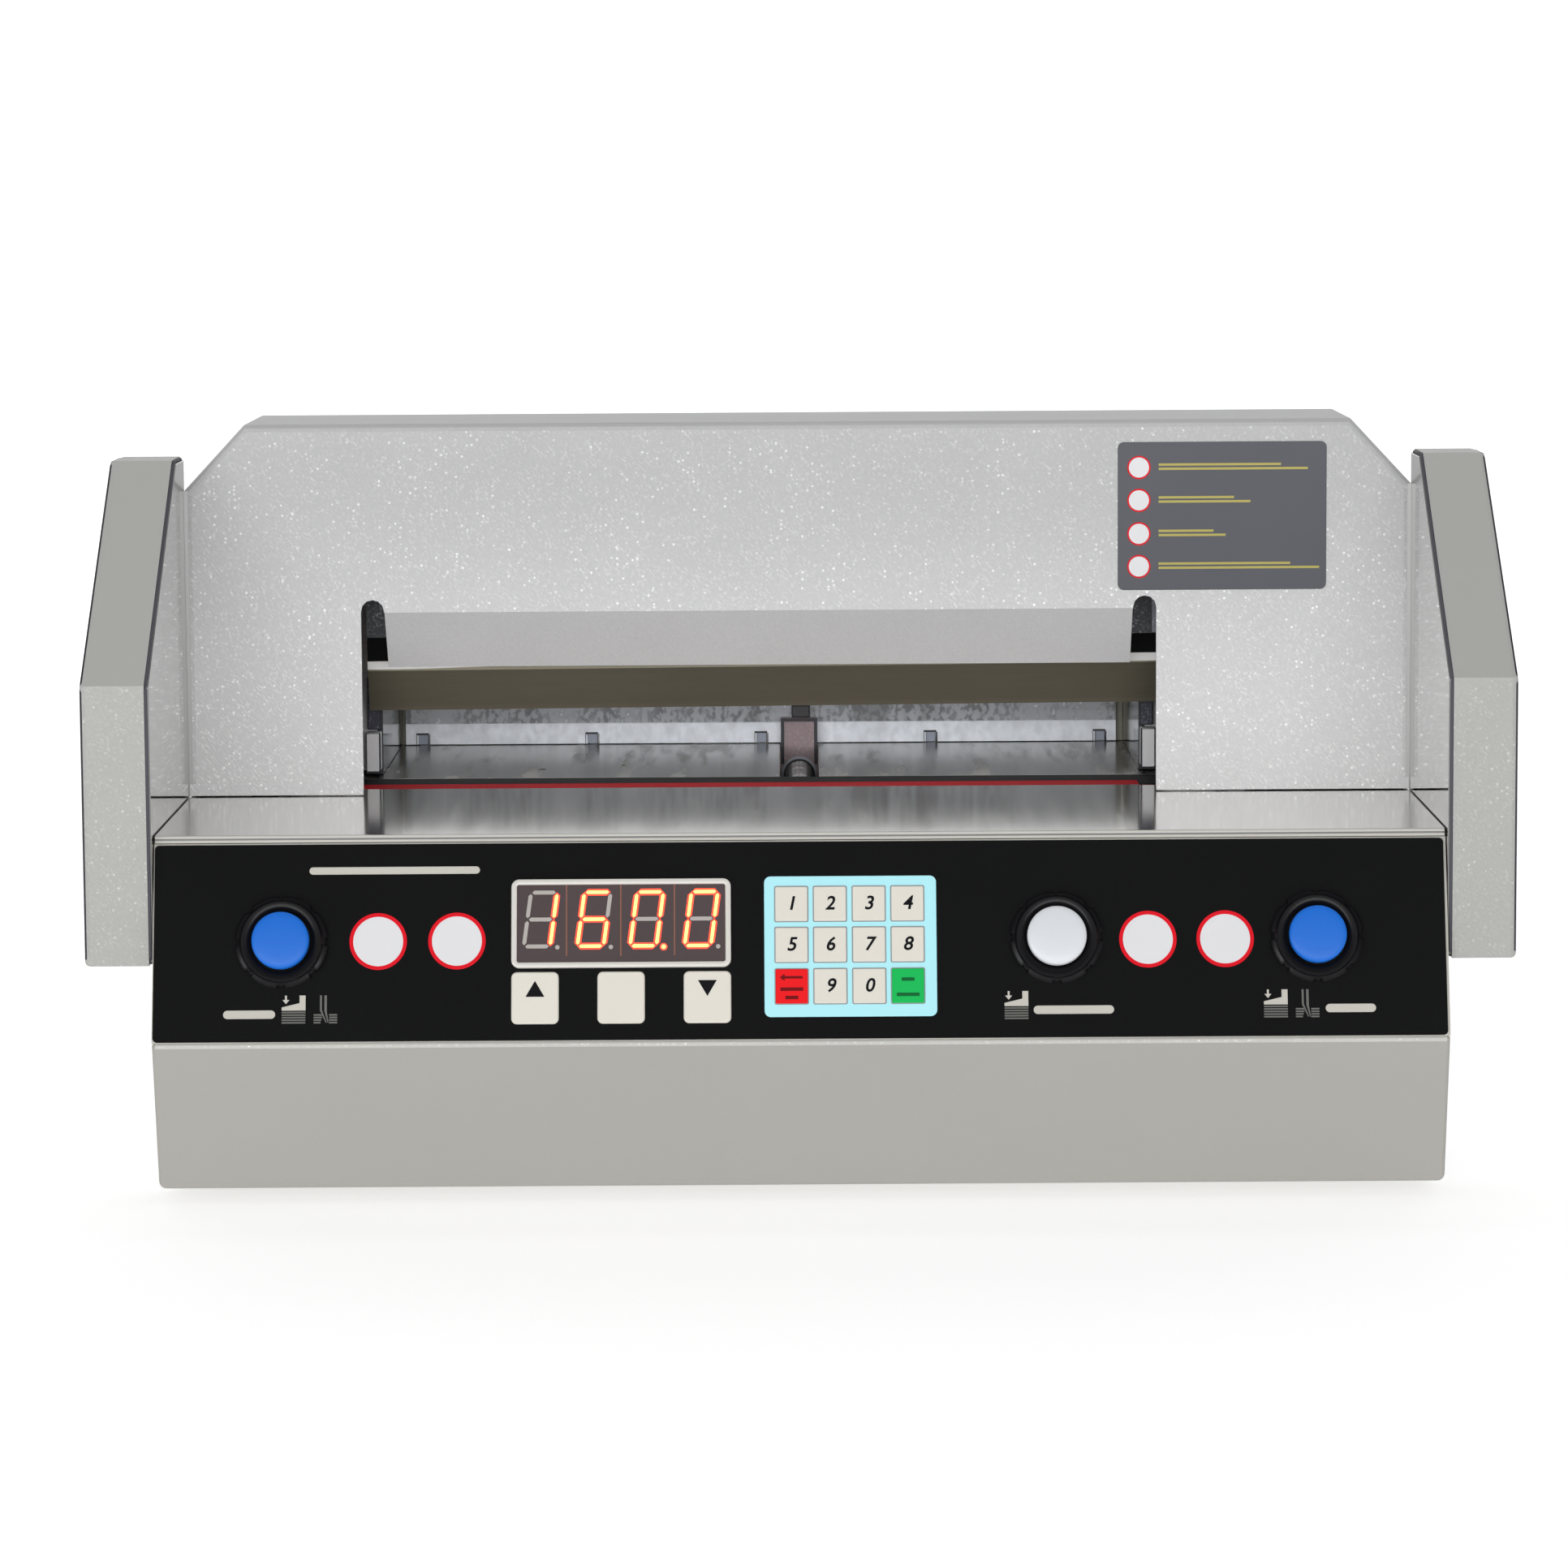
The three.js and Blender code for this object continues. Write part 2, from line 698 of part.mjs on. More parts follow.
function makeUpperCover(group) {
  const behind = block(-bodyWidth, bodyWidth, coverDepth, coverDepth + bodyWidth, -coverHeight,
    2 * coverHeight);
  const reach = coverDepth + coverEdgeRadius + overrun;
  const outer = alongY(coverOutline(0, coverLift), 0, reach, coverEdgeRadius).subtract(behind);
  const inner = alongY(coverOutline(sheet, coverLift - overrun), sheet, coverDepth + overrun);
  const opening = block(openingLeft, openingRight, -overrun, sheet + overrun, coverLift - overrun,
    flangeBend);
  const slotRadius = slotWidth / 2;
  const slots = [openingLeft + slotRadius, openingRight - slotRadius].map((x) => alongY(
    capsule(x, coverLift, x, slotTop - slotRadius, slotRadius), -overrun, sheet + overrun));
  const run = flangeBend - flangeFoot;
  const slant = Math.hypot(run, flangeDepth);
  const back = sheet * run / slant;
  const down = sheet * flangeDepth / slant;
  const flange = alongX(outline([[0, flangeBend], [flangeDepth, flangeFoot],
    [flangeDepth + back, flangeFoot + down], [back, flangeBend + down + sheet / 2],
    [0, flangeBend + sheet]]),
    openingLeft + slotWidth + flangeGap, openingRight - slotWidth - flangeGap);
  piece(group, 'upper_cover', joined(cut(outer, inner, opening, ...slots), flange), 'hammered');
}

function makeUpperRearPanel(group) {
  const y1 = coverDepth - sheet / 2;
  const panel = alongY(coverOutline(sheet + fit, coverLift), y1 - sheet, y1);
  const opening = block(openingLeft, openingRight, y1 - sheet - overrun, y1 + overrun, -overrun,
    rearOpeningTop);
  piece(group, 'upper_rear_panel', panel.subtract(opening), 'hammered');
}

// Wings: a thick moulded cheek and the polished plate on its inner face
function wingShape(inset) {
  return outline([[-wingFront + inset, -wingFoot + inset], [wingBack - inset, -wingFoot + inset],
    [wingBack - inset, wingTop - inset], [-wingCrest, wingTop - inset],
    [-wingFront + inset, wingShoulder - inset / 2]]);
}

function makeWing(group, side, name) {
  const inner = bodyHalf + fit;
  const outer = inner + wingThickness;
  const shellStart = inner + wingPlate + fit;
  const near = (a, b) => [Math.min(side * a, side * b), Math.max(side * a, side * b)];
  const whole = alongX(wingShape(0), ...near(shellStart - wingThickness, outer), wingEdgeRadius);
  const spare = block(...near(shellStart, shellStart - 2 * wingThickness), -2 * wingFront, wingFront,
    -2 * wingTop, 2 * wingTop);
  const hollow = alongX(wingShape(wingWall), ...near(shellStart - overrun, outer - wingWall));
  piece(group, `wing_${name}`, cut(whole, spare, hollow), 'hammered');
  const plate = alongX(wingShape(wingPlate), ...near(inner, inner + wingPlate));
  piece(group, `wing_plate_${name}`, plate, 'mirror');
}

// Console housing with its sloping face, and the lower front cover
function makeConsole(group) {
  const top = -panelDrop;
  const skew = consoleWall * panelOut / panelRise;
  const wallY = consoleWall * panelRise / panelLength + skew;
  const shell = alongX(outline([[-frontReach, top], [consoleBack, top], [consoleBack, panelFootZ],
    [panelFootY, panelFootZ]]), -bodyHalf, bodyHalf);
  const cavity = alongX(outline([[-frontReach + wallY - skew, top - consoleWall],
    [consoleBack + overrun, top - consoleWall], [consoleBack + overrun, panelFootZ + consoleWall],
    [panelFootY + wallY, panelFootZ + consoleWall]]), -bodyHalf + consoleWall, bodyHalf - consoleWall);
  const holes = Object.values(buttonPlaces()).map((x) => {
    const hole = rodZ(x, -buttonLine, barrelRadius + fit, -2 * overrun, 2 * overrun);
    return hole.transform(panelMatrix().toArray());
  });
  piece(group, 'control_housing', cut(shell, cavity, ...holes), 'cream');

  const foot = -housingDrop;
  const head = panelFootZ - fit;
  const tuckY = panelFootY + lowerTuck;
  const over = head + 2 * lowerCornerRadius;
  const side = roundedRect(-bodyHalf, bodyHalf, foot, over, lowerCornerRadius);
  const profile = outline([[panelFootY, head], [tuckY, foot], [consoleBack, foot], [consoleBack, head]]);
  const cover = alongX(profile, -bodyHalf, bodyHalf).intersect(alongY(side, 2 * panelFootY, 0));
  const inside = bodyHalf - lowerWall;
  const floor = foot + lowerWall;
  const ceiling = head - lowerWall;
  const behind = consoleBack + overrun;
  const hollowSide = roundedRect(-inside, inside, floor, over, lowerCornerRadius);
  const hollowProfile = outline([[panelFootY + lowerWall, ceiling], [tuckY + lowerWall, floor],
    [behind, floor], [behind, ceiling]]);
  const hollow = alongX(hollowProfile, -inside, inside)
    .intersect(alongY(hollowSide, 2 * panelFootY, overrun));
  piece(group, 'front_cover', cover.subtract(hollow), 'grey');
}

function panelMatrix() {
  const matrix = new THREE.Matrix4().makeRotationX(panelAngle);
  return matrix.setPosition(0, -frontReach, -panelDrop);
}

// How far the lower rim of a button cap stands in front of the upper cover's face
function capReach() {
  const crown = 2 * fit + overlayThickness + seatFloor + capTravel + fit + capHeight;
  const slope = panelOut / panelLength;
  const outward = panelRise / panelLength;
  return frontReach + Math.max(slope * (buttonLine + capRadius) + outward * (crown - capCrown),
    slope * (buttonLine + capRadius - capCrown) + outward * crown);
}

function buttonPlaces() {
  return {
    left: buttonLeftInset - bodyHalf,
    middle: bodyHalf - buttonMiddleInset,
    right: bodyHalf - buttonRightInset,
  };
}

// Pieces on the sloping panel, in its own plane: X right, Y up the slope, Z out of the face
function makePanel(group) {
  const panel = new THREE.Group();
  panel.rotation.x = panelAngle;
  panel.position.set(0, -frontReach, -panelDrop);
  group.add(panel);
  const side = bodyHalf - overlaySideMargin;
  const face = fit + overlayThickness;
  const sheetFace = alongZ(roundedRect(-side, side, -panelLength + overlayFootMargin, -overlayTopMargin,
    overlayCornerRadius), fit, face);
  const holes = Object.values(buttonPlaces()).map((x) =>
    rodZ(x, -buttonLine, barrelRadius + fit, -overrun, 2 * overrun));
  piece(panel, 'panel_overlay', cut(sheetFace, ...holes), 'overlay');

  const base = face + fit;
  const right = displayLeft + displayWidth;
  const foot = -displayTop - displayHeight;
  const proud = base + displayProud;
  const rim = alongZ(roundedRect(displayLeft, right, foot, -displayTop, displayCornerRadius), base, proud);
  const pocket = alongZ(roundedRect(displayLeft + displayRim, right - displayRim, foot + displayRim,
    -displayTop - displayRim, displayCornerRadius - displayRim / 2), base + displayFloor, proud + overrun);
  piece(panel, 'display_bezel', rim.subtract(pocket), 'cream');

  for (const [name, x] of Object.entries(buttonPlaces())) {
    const ring = base + seatHeight;
    const floor = base + seatFloor;
    const bore = plungerRadius + fit;
    const seat = turned([[bore, -barrelDepth], [barrelRadius, -barrelDepth], [barrelRadius, base],
      [seatRadius, base], [seatRadius, ring - seatChamfer], [seatRadius - seatChamfer, ring],
      [capRadius + fit, ring], [capRadius + fit, floor], [bore, floor], [bore, -barrelDepth]],
      UP, at(0, 0, 0));
    piece(panel, `button_seat_${name}`, seat, 'black').position.set(x, -buttonLine, 0);
    const under = floor + capTravel + fit;
    const crown = under + capHeight;
    const low = under - plungerDepth;
    const cap = turned([[0, low], [plungerRadius, low], [plungerRadius, under], [capRadius, under],
      [capRadius, crown - capCrown], [capRadius - capCrown, crown], [0, crown]], UP, at(0, 0, 0));
    const look = name === 'middle' ? 'white' : 'blue';
    piece(panel, `button_cap_${name}`, cap, look).position.set(x, -buttonLine, 0);
  }
}

// Side frames: plates that stand on the floor and carry the bed, the beam and the lever shaft
function makeSideFrame(group, side, name) {
  const inner = side < 0 ? leftFrame : rightFrame;
  const x0 = Math.min(inner, inner + side * frameThickness);
  const x1 = x0 + frameThickness;
  const foot = floorTop + fit;
  const shape = outline([[-frameFront, foot], [frameRear, foot], [frameRear, underTable],
    [frameHeadRear, underTable], [frameHeadRear, frameHeadTop],
    [frameHeadFront + frameHeadCorner, frameHeadTop], [frameHeadFront, frameHeadTop - frameHeadCorner],
    [frameHeadFront, underTable], [-frameFront, underTable]]);
  const plate = cut(alongX(shape, x0, x1),
    rodX(shaftY, shaftZ, shaftRadius + fit, x0 - overrun, x1 + overrun),
    rodX(frameHoleY, frameHoleZ, frameHoleRadius, x0 - overrun, x1 + overrun));
  piece(group, `side_frame_${name}`, plate, 'cast');
}

function rollerPlaces() {
  return { left: throatLeft + rollerInset, right: throatRight - rollerInset };
}

function rodPlaces() {
  return spread(2, clampRodSpacing).map((shift) => throatCentre + shift);
}

function makeBeam(group) {
  const low = beamFoot - overrun;
  const high = beamTop + overrun;
  const stubEnd = beamFront + rollerSeat;
  let beam = block(leftFrame + fit, rightFrame - fit, beamFront, frameHeadRear, beamFoot, beamTop);
  beam = beam.subtract(rodZ(throatCentre, clampMiddle, clampScrewRadius + fit, low, high));
  for (const x of rodPlaces()) {
    beam = beam.subtract(rodZ(x, clampMiddle, clampRodRadius + fit, low, high));
  }
  for (const x of Object.values(rollerPlaces())) {
    beam = beam.subtract(rodY(x, guideSlotFoot, rollerStub + fit, beamFront - overrun, stubEnd + fit));
  }
  piece(group, 'cross_beam', beam, 'cast');

  for (const [name, x] of Object.entries(rollerPlaces())) {
    const back = cutPlane - knifeThickness - fit;
    const head = carrierFront - fit;
    const face = head - rollerHeadLength;
    const roller = turned([[0, face], [rollerHead, face], [rollerHead, head], [rollerRadius, head],
      [rollerRadius, back], [rollerStub, back], [rollerStub, stubEnd], [0, stubEnd]], BACK, at(0, 0, 0),
      smallSteps);
    piece(group, `guide_roller_${name}`, roller, 'machined').position.set(x, 0, guideSlotFoot);
  }
}

// Knife and carrier: the carrier's slanted slots run down and across on the two rollers
function makeKnife(group) {
  const left = openingLeft + fit;
  const right = throatRight + knifeRun;
  const back = cutPlane - knifeThickness - fit;
  const profile = outline([[carrierFront, carrierFoot], [back, carrierFoot], [back, carrierTop],
    [ribFront + ribCorner, carrierTop], [ribFront, carrierTop - ribCorner], [ribFront, ribFoot],
    [carrierFront, ribFoot]]);
  let carrier = alongX(profile, left, right);
  for (const x of Object.values(rollerPlaces())) {
    const shape = capsule(x, guideSlotFoot, x + knifeShift, guideSlotFoot + knifeDrop, rollerRadius + fit);
    carrier = carrier.subtract(alongY(shape, carrierFront - overrun, back + overrun));
    const relief = capsule(x, guideSlotFoot, x + knifeShift, guideSlotFoot + knifeDrop, rollerHead + fit);
    carrier = carrier.subtract(alongY(relief, ribFront - overrun, carrierFront));
  }
  const boltPitch = throatWidth / boltCount;
  for (const shift of spread(boltCount, boltPitch)) {
    carrier = carrier.subtract(rodY(throatCentre + shift, boltLine, boltRadius, carrierFront - overrun,
      carrierFront + boltDepth, smallSteps));
  }
  const leftEnd = linkLeftX() - linkThickness - knifeShift / 2;
  const rightEnd = linkRightX() + linkThickness + knifeShift + pinProud / 2;
  const leftPin = rodX(carrierPinY, carrierPinZ, drivePinRadius, leftEnd, left + overrun, smallSteps);
  const rightPin = rodX(carrierPinY, carrierPinZ, drivePinRadius, right - overrun, rightEnd, smallSteps);
  piece(group, 'knife_carrier', joined(carrier, leftPin, rightPin), 'cast');

  const length = right - left;
  const blade = alongX(outline([[cutPlane, 0], [cutPlane, knifeTop - knifeEdge], [cutPlane - knifeThickness,
    knifeTop - knifeEdge], [cutPlane - knifeThickness, knifeBevel]]), 0, length);
  const knife = piece(group, 'knife', blade, 'knife');
  knife.position.set(left, 0, knifeEdge);
  knife.rotation.y = -Math.atan2(knifeLift, length);
}

// Places of the two pull links beside the carrier
function linkLeftX() {
  return openingLeft + fit - knifeShift - linkSideGap - linkThickness;
}

function linkRightX() {
  return throatRight + knifeRun + linkSideGap;
}

// Clamp: ribbed foot with two guide rods, lowered by the screw in its boss
function makeClamp(group) {
  const left = throatLeft + clampSide;
  const right = throatRight - clampSide;
  const footTop = clampFoot + clampFootHeight;
  const foot = block(left, right, clampFront, clampRear, clampFoot, footTop);
  const web = block(left, right, clampWebFront, clampWebRear, footTop - overrun, clampTop);
  const ribPitch = throatWidth / clampRibCount;
  const ribs = spread(clampRibCount, ribPitch).map((shift) => alongX(
    outline([[clampFront, footTop - overrun], [clampRear, footTop - overrun], [clampRear, footTop],
      [clampWebRear, clampTop], [clampWebFront, clampTop], [clampFront, footTop]]),
    throatCentre + shift - clampRibWidth / 2, throatCentre + shift + clampRibWidth / 2));
  const rods = rodPlaces().map((x) => rodZ(x, clampMiddle, clampRodRadius, clampTop - overrun, clampRodTop));
  const boss = rodZ(throatCentre, clampMiddle, clampBossRadius, footTop - overrun, clampTop)
    .intersect(block(left, right, clampFront, clampRear, clampFoot, clampTop));
  const bore = rodZ(throatCentre, clampMiddle, clampScrewRadius + fit, clampScrewFoot - fit,
    clampTop + overrun);
  piece(group, 'clamp_bar', joined(foot, web, boss, ...ribs, ...rods).subtract(bore), 'cast');

  const boxFoot = beamTop + fit;
  const collarTop = boxFoot + thrustCollar;
  const screwTop = beamTop + clampBoxHeight / 2;
  const screw = turned([[0, clampScrewFoot], [clampScrewRadius, clampScrewFoot], [clampScrewRadius, boxFoot],
    [thrustCollarRadius, boxFoot], [thrustCollarRadius, collarTop], [clampScrewRadius, collarTop],
    [clampScrewRadius, screwTop], [0, screwTop]], UP, at(0, 0, 0));
  piece(group, 'clamp_screw', screw, 'machined').position.set(throatCentre, clampMiddle, 0);

  const box = alongZ(roundedRect(throatCentre - clampBoxWidth / 2, throatCentre + clampBoxWidth / 2,
    clampMiddle - clampBoxDepth / 2, clampMiddle + clampBoxDepth / 2, motorEndCap / 2), boxFoot,
    boxFoot + clampBoxHeight);
  const collarBore = rodZ(throatCentre, clampMiddle, thrustCollarRadius + fit, boxFoot - overrun,
    collarTop + fit);
  const topBore = rodZ(throatCentre, clampMiddle, clampScrewRadius + fit, boxFoot - overrun, screwTop + fit);
  piece(group, 'clamp_gearbox', cut(box, collarBore, topBore), 'machined');
  const motorX = throatCentre + clampBoxWidth / 2 + fit;
  const motorEnd = throatCentre + clampRodSpacing / 2 - clampRodRadius - clampMotorRoom;
  piece(group, 'clamp_motor', motorSolid(clampMotorRadius, motorEnd - motorX, RIGHT), 'black')
    .position.set(motorX, clampMiddle, boxFoot + clampBoxHeight / 2);
}

// A small motor: a can between two stepped end caps
function motorSolid(radius, length, axis) {
  const neck = radius - motorStep;
  const shoulder = length - motorEndCap;
  return turned([[0, 0], [neck, 0], [neck, motorEndCap], [radius, motorEndCap], [radius, shoulder],
    [neck, shoulder], [neck, length - motorStep], [neck / 2, length], [0, length]], axis, at(0, 0, 0));
}

// Lever shaft with its two arms, the pull links and the gear motor that turns it
function armSolid(x0, x1) {
  const angle = startSwing;
  const tip = [shaftY + leverLength * Math.cos(angle), shaftZ + leverLength * Math.sin(angle)];
  const dy = Math.sin(angle);
  const dz = Math.cos(angle);
  const web = alongX(outline([[shaftY + leverEyeRadius * dy, shaftZ - leverEyeRadius * dz],
    [tip[0] + leverEyeRadius / 2 * dy, tip[1] - leverEyeRadius / 2 * dz],
    [tip[0] - leverEyeRadius / 2 * dy, tip[1] + leverEyeRadius / 2 * dz],
    [shaftY - leverEyeRadius * dy, shaftZ + leverEyeRadius * dz]]), x0, x1);
  const hub = rodX(shaftY, shaftZ, leverHubRadius, x0, x1);
  return joined(web, hub, rodX(tip[0], tip[1], leverEyeRadius, x0, x1));
}

function makeKnifeDrive(group) {
  const left = linkLeftX();
  const right = linkRightX();
  const leftArm = left + linkThickness + fit;
  const rightArm = right - fit - leverThickness;
  const shaft = rodX(shaftY, shaftZ, shaftRadius, leftFrame - frameThickness / 2,
    rightFrame + frameThickness / 2);
  const pin = (x0, x1) => rodX(carrierPinY, leverPinZ, drivePinRadius, x0, x1, smallSteps);
  const leftPin = pin(left - pinProud, leftArm + overrun);
  const rightPin = pin(rightArm + leverThickness - overrun, right + linkThickness + pinProud);
  piece(group, 'lever_shaft', joined(shaft, armSolid(leftArm, leftArm + leverThickness),
    armSolid(rightArm, rightArm + leverThickness), leftPin, rightPin), 'machined');

  for (const [name, x0] of Object.entries({ left, right })) {
    const x1 = x0 + linkThickness;
    const bar = block(x0, x1, carrierPinY - linkWidth / 2, carrierPinY + linkWidth / 2, leverPinZ,
      carrierPinZ);
    const eyes = [leverPinZ, carrierPinZ].map((z) => rodX(carrierPinY, z, linkEyeRadius, x0, x1));
    const lower = rodX(carrierPinY, leverPinZ, drivePinRadius + fit, x0 - overrun, x1 + overrun, smallSteps);
    const slot = capsule(carrierPinY - linkSlotPlay, carrierPinZ, carrierPinY + linkSlotPlay, carrierPinZ,
      drivePinRadius + 2 * fit);
    const upper = alongX(slot, x0 - overrun, x1 + overrun);
    piece(group, `pull_link_${name}`, cut(joined(bar, ...eyes), lower, upper), 'machined');
  }

  const half = gearboxWidth / 2;
  const floor = floorTop + fit;
  const casing = alongX(roundedRect(gearboxFront, gearboxRear, floor, gearboxTop, leverEyeRadius),
    -half, half);
  const foot = block(-half - gearboxFootReach, half + gearboxFootReach, gearboxFront + leverEyeRadius,
    gearboxRear - leverEyeRadius, floor, floor + gearboxFootHeight);
  const shaftBore = rodX(shaftY, shaftZ, shaftRadius + fit, -half - overrun, half + overrun);
  piece(group, 'knife_gearbox', joined(casing, foot).subtract(shaftBore), 'machined');
  const motor = motorSolid(knifeMotorRadius, knifeMotorLength, RIGHT).mirror([1, 0, 0]);
  piece(group, 'knife_motor', motor, 'black')
    .position.set(-half - fit, shaftY - knifeMotorAhead, knifeMotorRise - housingDrop);
}

// Back gauge with its notches, the carriage that reaches down through the slot, and the lead screw
function makeGauge(group) {
  const left = throatLeft + gaugeSide;
  const right = throatRight - 2 * gaugeSide;
  const wallFront = gaugeFace + gaugeStripProud;
  const wallBack = wallFront + gaugeWall;
  const footBack = gaugeFace + gaugeFootDepth;
  const profile = outline([[gaugeFace, fit], [footBack, fit], [footBack, gaugeFootHeight],
    [wallBack, gaugeStrip], [wallBack, gaugeHeight], [wallFront, gaugeHeight], [wallFront, gaugeStrip],
    [gaugeFace, gaugeStrip]]);
  let gauge = alongX(profile, left, right);
  const notchPitch = (throatWidth - 2 * notchInset) / (notchCount - 1);
  for (const shift of spread(notchCount, notchPitch)) {
    const x = throatCentre + shift;
    const rib = alongX(outline([[wallBack - gaugeWall / 2, fit + notchHeight], [footBack, fit + notchHeight],
      [footBack, gaugeFootHeight], [wallBack, gaugeHeight], [wallBack - gaugeWall / 2, gaugeHeight]]),
      x - gaugeRibWidth / 2, x + gaugeRibWidth / 2);
    const notch = block(x - notchWidth / 2, x + notchWidth / 2, gaugeFace - overrun, footBack + overrun,
      -overrun, fit + notchHeight);
    gauge = gauge.add(rib).subtract(notch);
  }
  piece(group, 'back_gauge', gauge, 'steel');

  const front = gaugeFace - fit - carriagePlate;
  const stemHalf = screwSlotWidth / 2 - fit;
  const stem = block(-stemHalf, stemHalf, front, front + carriagePlate, underTable - overrun, carriageTop);
  const back = front + carriageDepth;
  const base = block(-carriageHalfWidth, carriageHalfWidth, front, back, -carriageFoot, underTable);
  const bore = rodY(0, screwZ, screwRadius + fit, front - overrun, back + overrun, smallSteps);
  piece(group, 'gauge_carriage', joined(stem, base).subtract(bore), 'brass');

  const bedBack = stickStart + bedWidth;
  const screwFront = bedBack + fit;
  const screwBack = bracketFront - fit;
  const tip = bedBack - journalLength + fit;
  const screw = turned([[0, tip], [journalRadius, tip], [journalRadius, screwFront],
    [screwRadius, screwFront], [screwRadius, screwBack], [journalRadius, screwBack],
    [journalRadius, pulleyFront], ...pulleyProfile(screwPulleyRadius)], BACK, at(0, 0, 0));
  piece(group, 'lead_screw', screw, 'machined').position.set(0, 0, screwZ);
}

// A pulley's groove between two rims, from its front face to the axis behind it
function pulleyProfile(radius) {
  const rim = radius + pulleyRim;
  const grooveFront = pulleyFront + beltSide;
  const grooveBack = pulleyBack - beltSide;
  return [[rim, pulleyFront], [rim, grooveFront], [radius, grooveFront], [radius, grooveBack],
    [rim, grooveBack], [rim, pulleyBack], [0, pulleyBack]];
}

function makeGaugeDrive(group) {
  const back = bracketFront + bracketThickness;
  const plate = block(-bracketHalfWidth, bracketHalfWidth, bracketFront, back, bracketFoot, underTable);
  const bored = (z, radius) => rodY(0, z, radius + fit, bracketFront - overrun, back + overrun, smallSteps);
  const screwBore = bored(screwZ, journalRadius);
  const shaftBore = bored(gaugeMotorZ, motorShaftRadius);
  const flange = block(-bracketHalfWidth, bracketHalfWidth, bracketFront - carriageHalfWidth, back,
    underTable - bracketThickness, underTable);
  const carriageRoom = block(-carriageHalfWidth - bracketGap, carriageHalfWidth + bracketGap,
    bracketFront - carriageDepth, bracketFront, -carriageFoot, underTable + overrun);
  piece(group, 'drive_bracket', cut(joined(plate, flange), screwBore, shaftBore, carriageRoom), 'machined');

  const motor = motorSolid(gaugeMotorRadius, gaugeMotorLength, BACK);
  const bore = rodY(0, 0, motorShaftRadius + fit, gaugeMotorLength - motorEndCap, gaugeMotorLength + overrun,
    smallSteps);
  piece(group, 'gauge_motor', motor.subtract(bore), 'black')
    .position.set(0, bracketFront - fit - gaugeMotorLength, gaugeMotorZ);

  const shaftFront = bracketFront - fit - motorEndCap + fit;
  const pulley = turned([[0, shaftFront], [motorShaftRadius, shaftFront], [motorShaftRadius, pulleyFront],
    ...pulleyProfile(motorPulleyRadius)], BACK, at(0, 0, 0), smallSteps);
  piece(group, 'motor_pulley', pulley, 'machined').position.set(0, 0, gaugeMotorZ);

  const belt = beltLoop(fit + beltThickness).subtract(beltLoop(fit, overrun));
  piece(group, 'drive_belt', belt, 'rubber');
}

// The outline of a belt that lies the given distance off both pulleys
function beltLoop(offset, extra = 0) {
  const span = screwZ - gaugeMotorZ;
  const lean = Math.asin((screwPulleyRadius - motorPulleyRadius) / span);
  const arc = (z, radius, from, to) => Array.from({ length: beltSteps + 1 }, (_, i) => {
    const angle = from + (to - from) * i / beltSteps;
    return [radius * Math.cos(angle), z + radius * Math.sin(angle)];
  });
  const shape = outline([...arc(screwZ, screwPulleyRadius + offset, -lean, Math.PI + lean),
    ...arc(gaugeMotorZ, motorPulleyRadius + offset, Math.PI + lean, 2 * Math.PI - lean)]);
  return alongY(shape, pulleyFront + beltSide + fit - extra, pulleyBack - beltSide - fit + extra);
}

// Control board on standoffs, and the mains transformer
function makeElectronics(group) {
  const under = floorTop + fit + standoffHeight;
  const top = under + boardThickness;
  const x0 = boardX - boardWidth / 2;
  const y0 = boardY - boardDepth / 2;
  let board = block(x0, x0 + boardWidth, y0, y0 + boardDepth, under, top);
  for (const x of [x0 + standoffInset, x0 + boardWidth - standoffInset]) {
    for (const y of [y0 + standoffInset, y0 + boardDepth - standoffInset]) {
      board = board.add(rodZ(x, y, standoffRadius, floorTop + fit, top, smallSteps));
    }
  }
  for (const shift of spread(relayCount, relayPitch)) {
    const x = boardX - boardWidth / 4 + shift;
    board = board.add(block(x - relayWidth / 2, x + relayWidth / 2, boardY, boardY + relayWidth, under,
      top + relayHeight));
  }
  board = board.add(rodZ(boardX + boardWidth / 4, boardY, capacitorRadius, under, top + capacitorHeight,
    smallSteps));
  piece(group, 'control_board', board, 'board');

  const foot = floorTop + fit;
  const core = block(coreX - coreWidth / 2, coreX + coreWidth / 2, coreY - coreDepth / 4,
    coreY + coreDepth / 4, foot, foot + coreHeight);
  const coils = alongX(roundedRect(coreY - coreDepth / 2, coreY + coreDepth / 2, foot + coreFootHeight,
    foot + coreHeight - coreFootHeight, coilBulge / 2), coreX - coilWidth / 2, coreX + coilWidth / 2);
  const feet = block(coreX - coreWidth / 2 - coreFootReach, coreX + coreWidth / 2 + coreFootReach,
    coreY - coreDepth / 4, coreY + coreDepth / 4, foot, foot + coreFootHeight);
  piece(group, 'transformer', joined(core, coils, feet), 'machined');
}

// The whole machine, stood on its feet over the middle of its outline
const machine = new THREE.Group();
makeBase(machine);
makeSidePanel(machine, -1, 'side_panel_left');
makeSidePanel(machine, 1, 'side_panel_right');
makeRearPanel(machine);
makeInlet(machine);
makeTables(machine);
makeSideGuide(machine, -1, 'side_guide_left');
makeSideGuide(machine, 1, 'side_guide_right');
makeGuideBlock(machine, -1, 'guide_block_left');
makeGuideBlock(machine, 1, 'guide_block_right');
makeUpperCover(machine);
makeUpperRearPanel(machine);
makeWing(machine, -1, 'left');
makeWing(machine, 1, 'right');
makeConsole(machine);
makePanel(machine);
makeSideFrame(machine, -1, 'left');
makeSideFrame(machine, 1, 'right');
makeBeam(machine);
makeKnife(machine);
makeClamp(machine);
makeKnifeDrive(machine);
makeGauge(machine);
makeGaugeDrive(machine);
makeElectronics(machine);
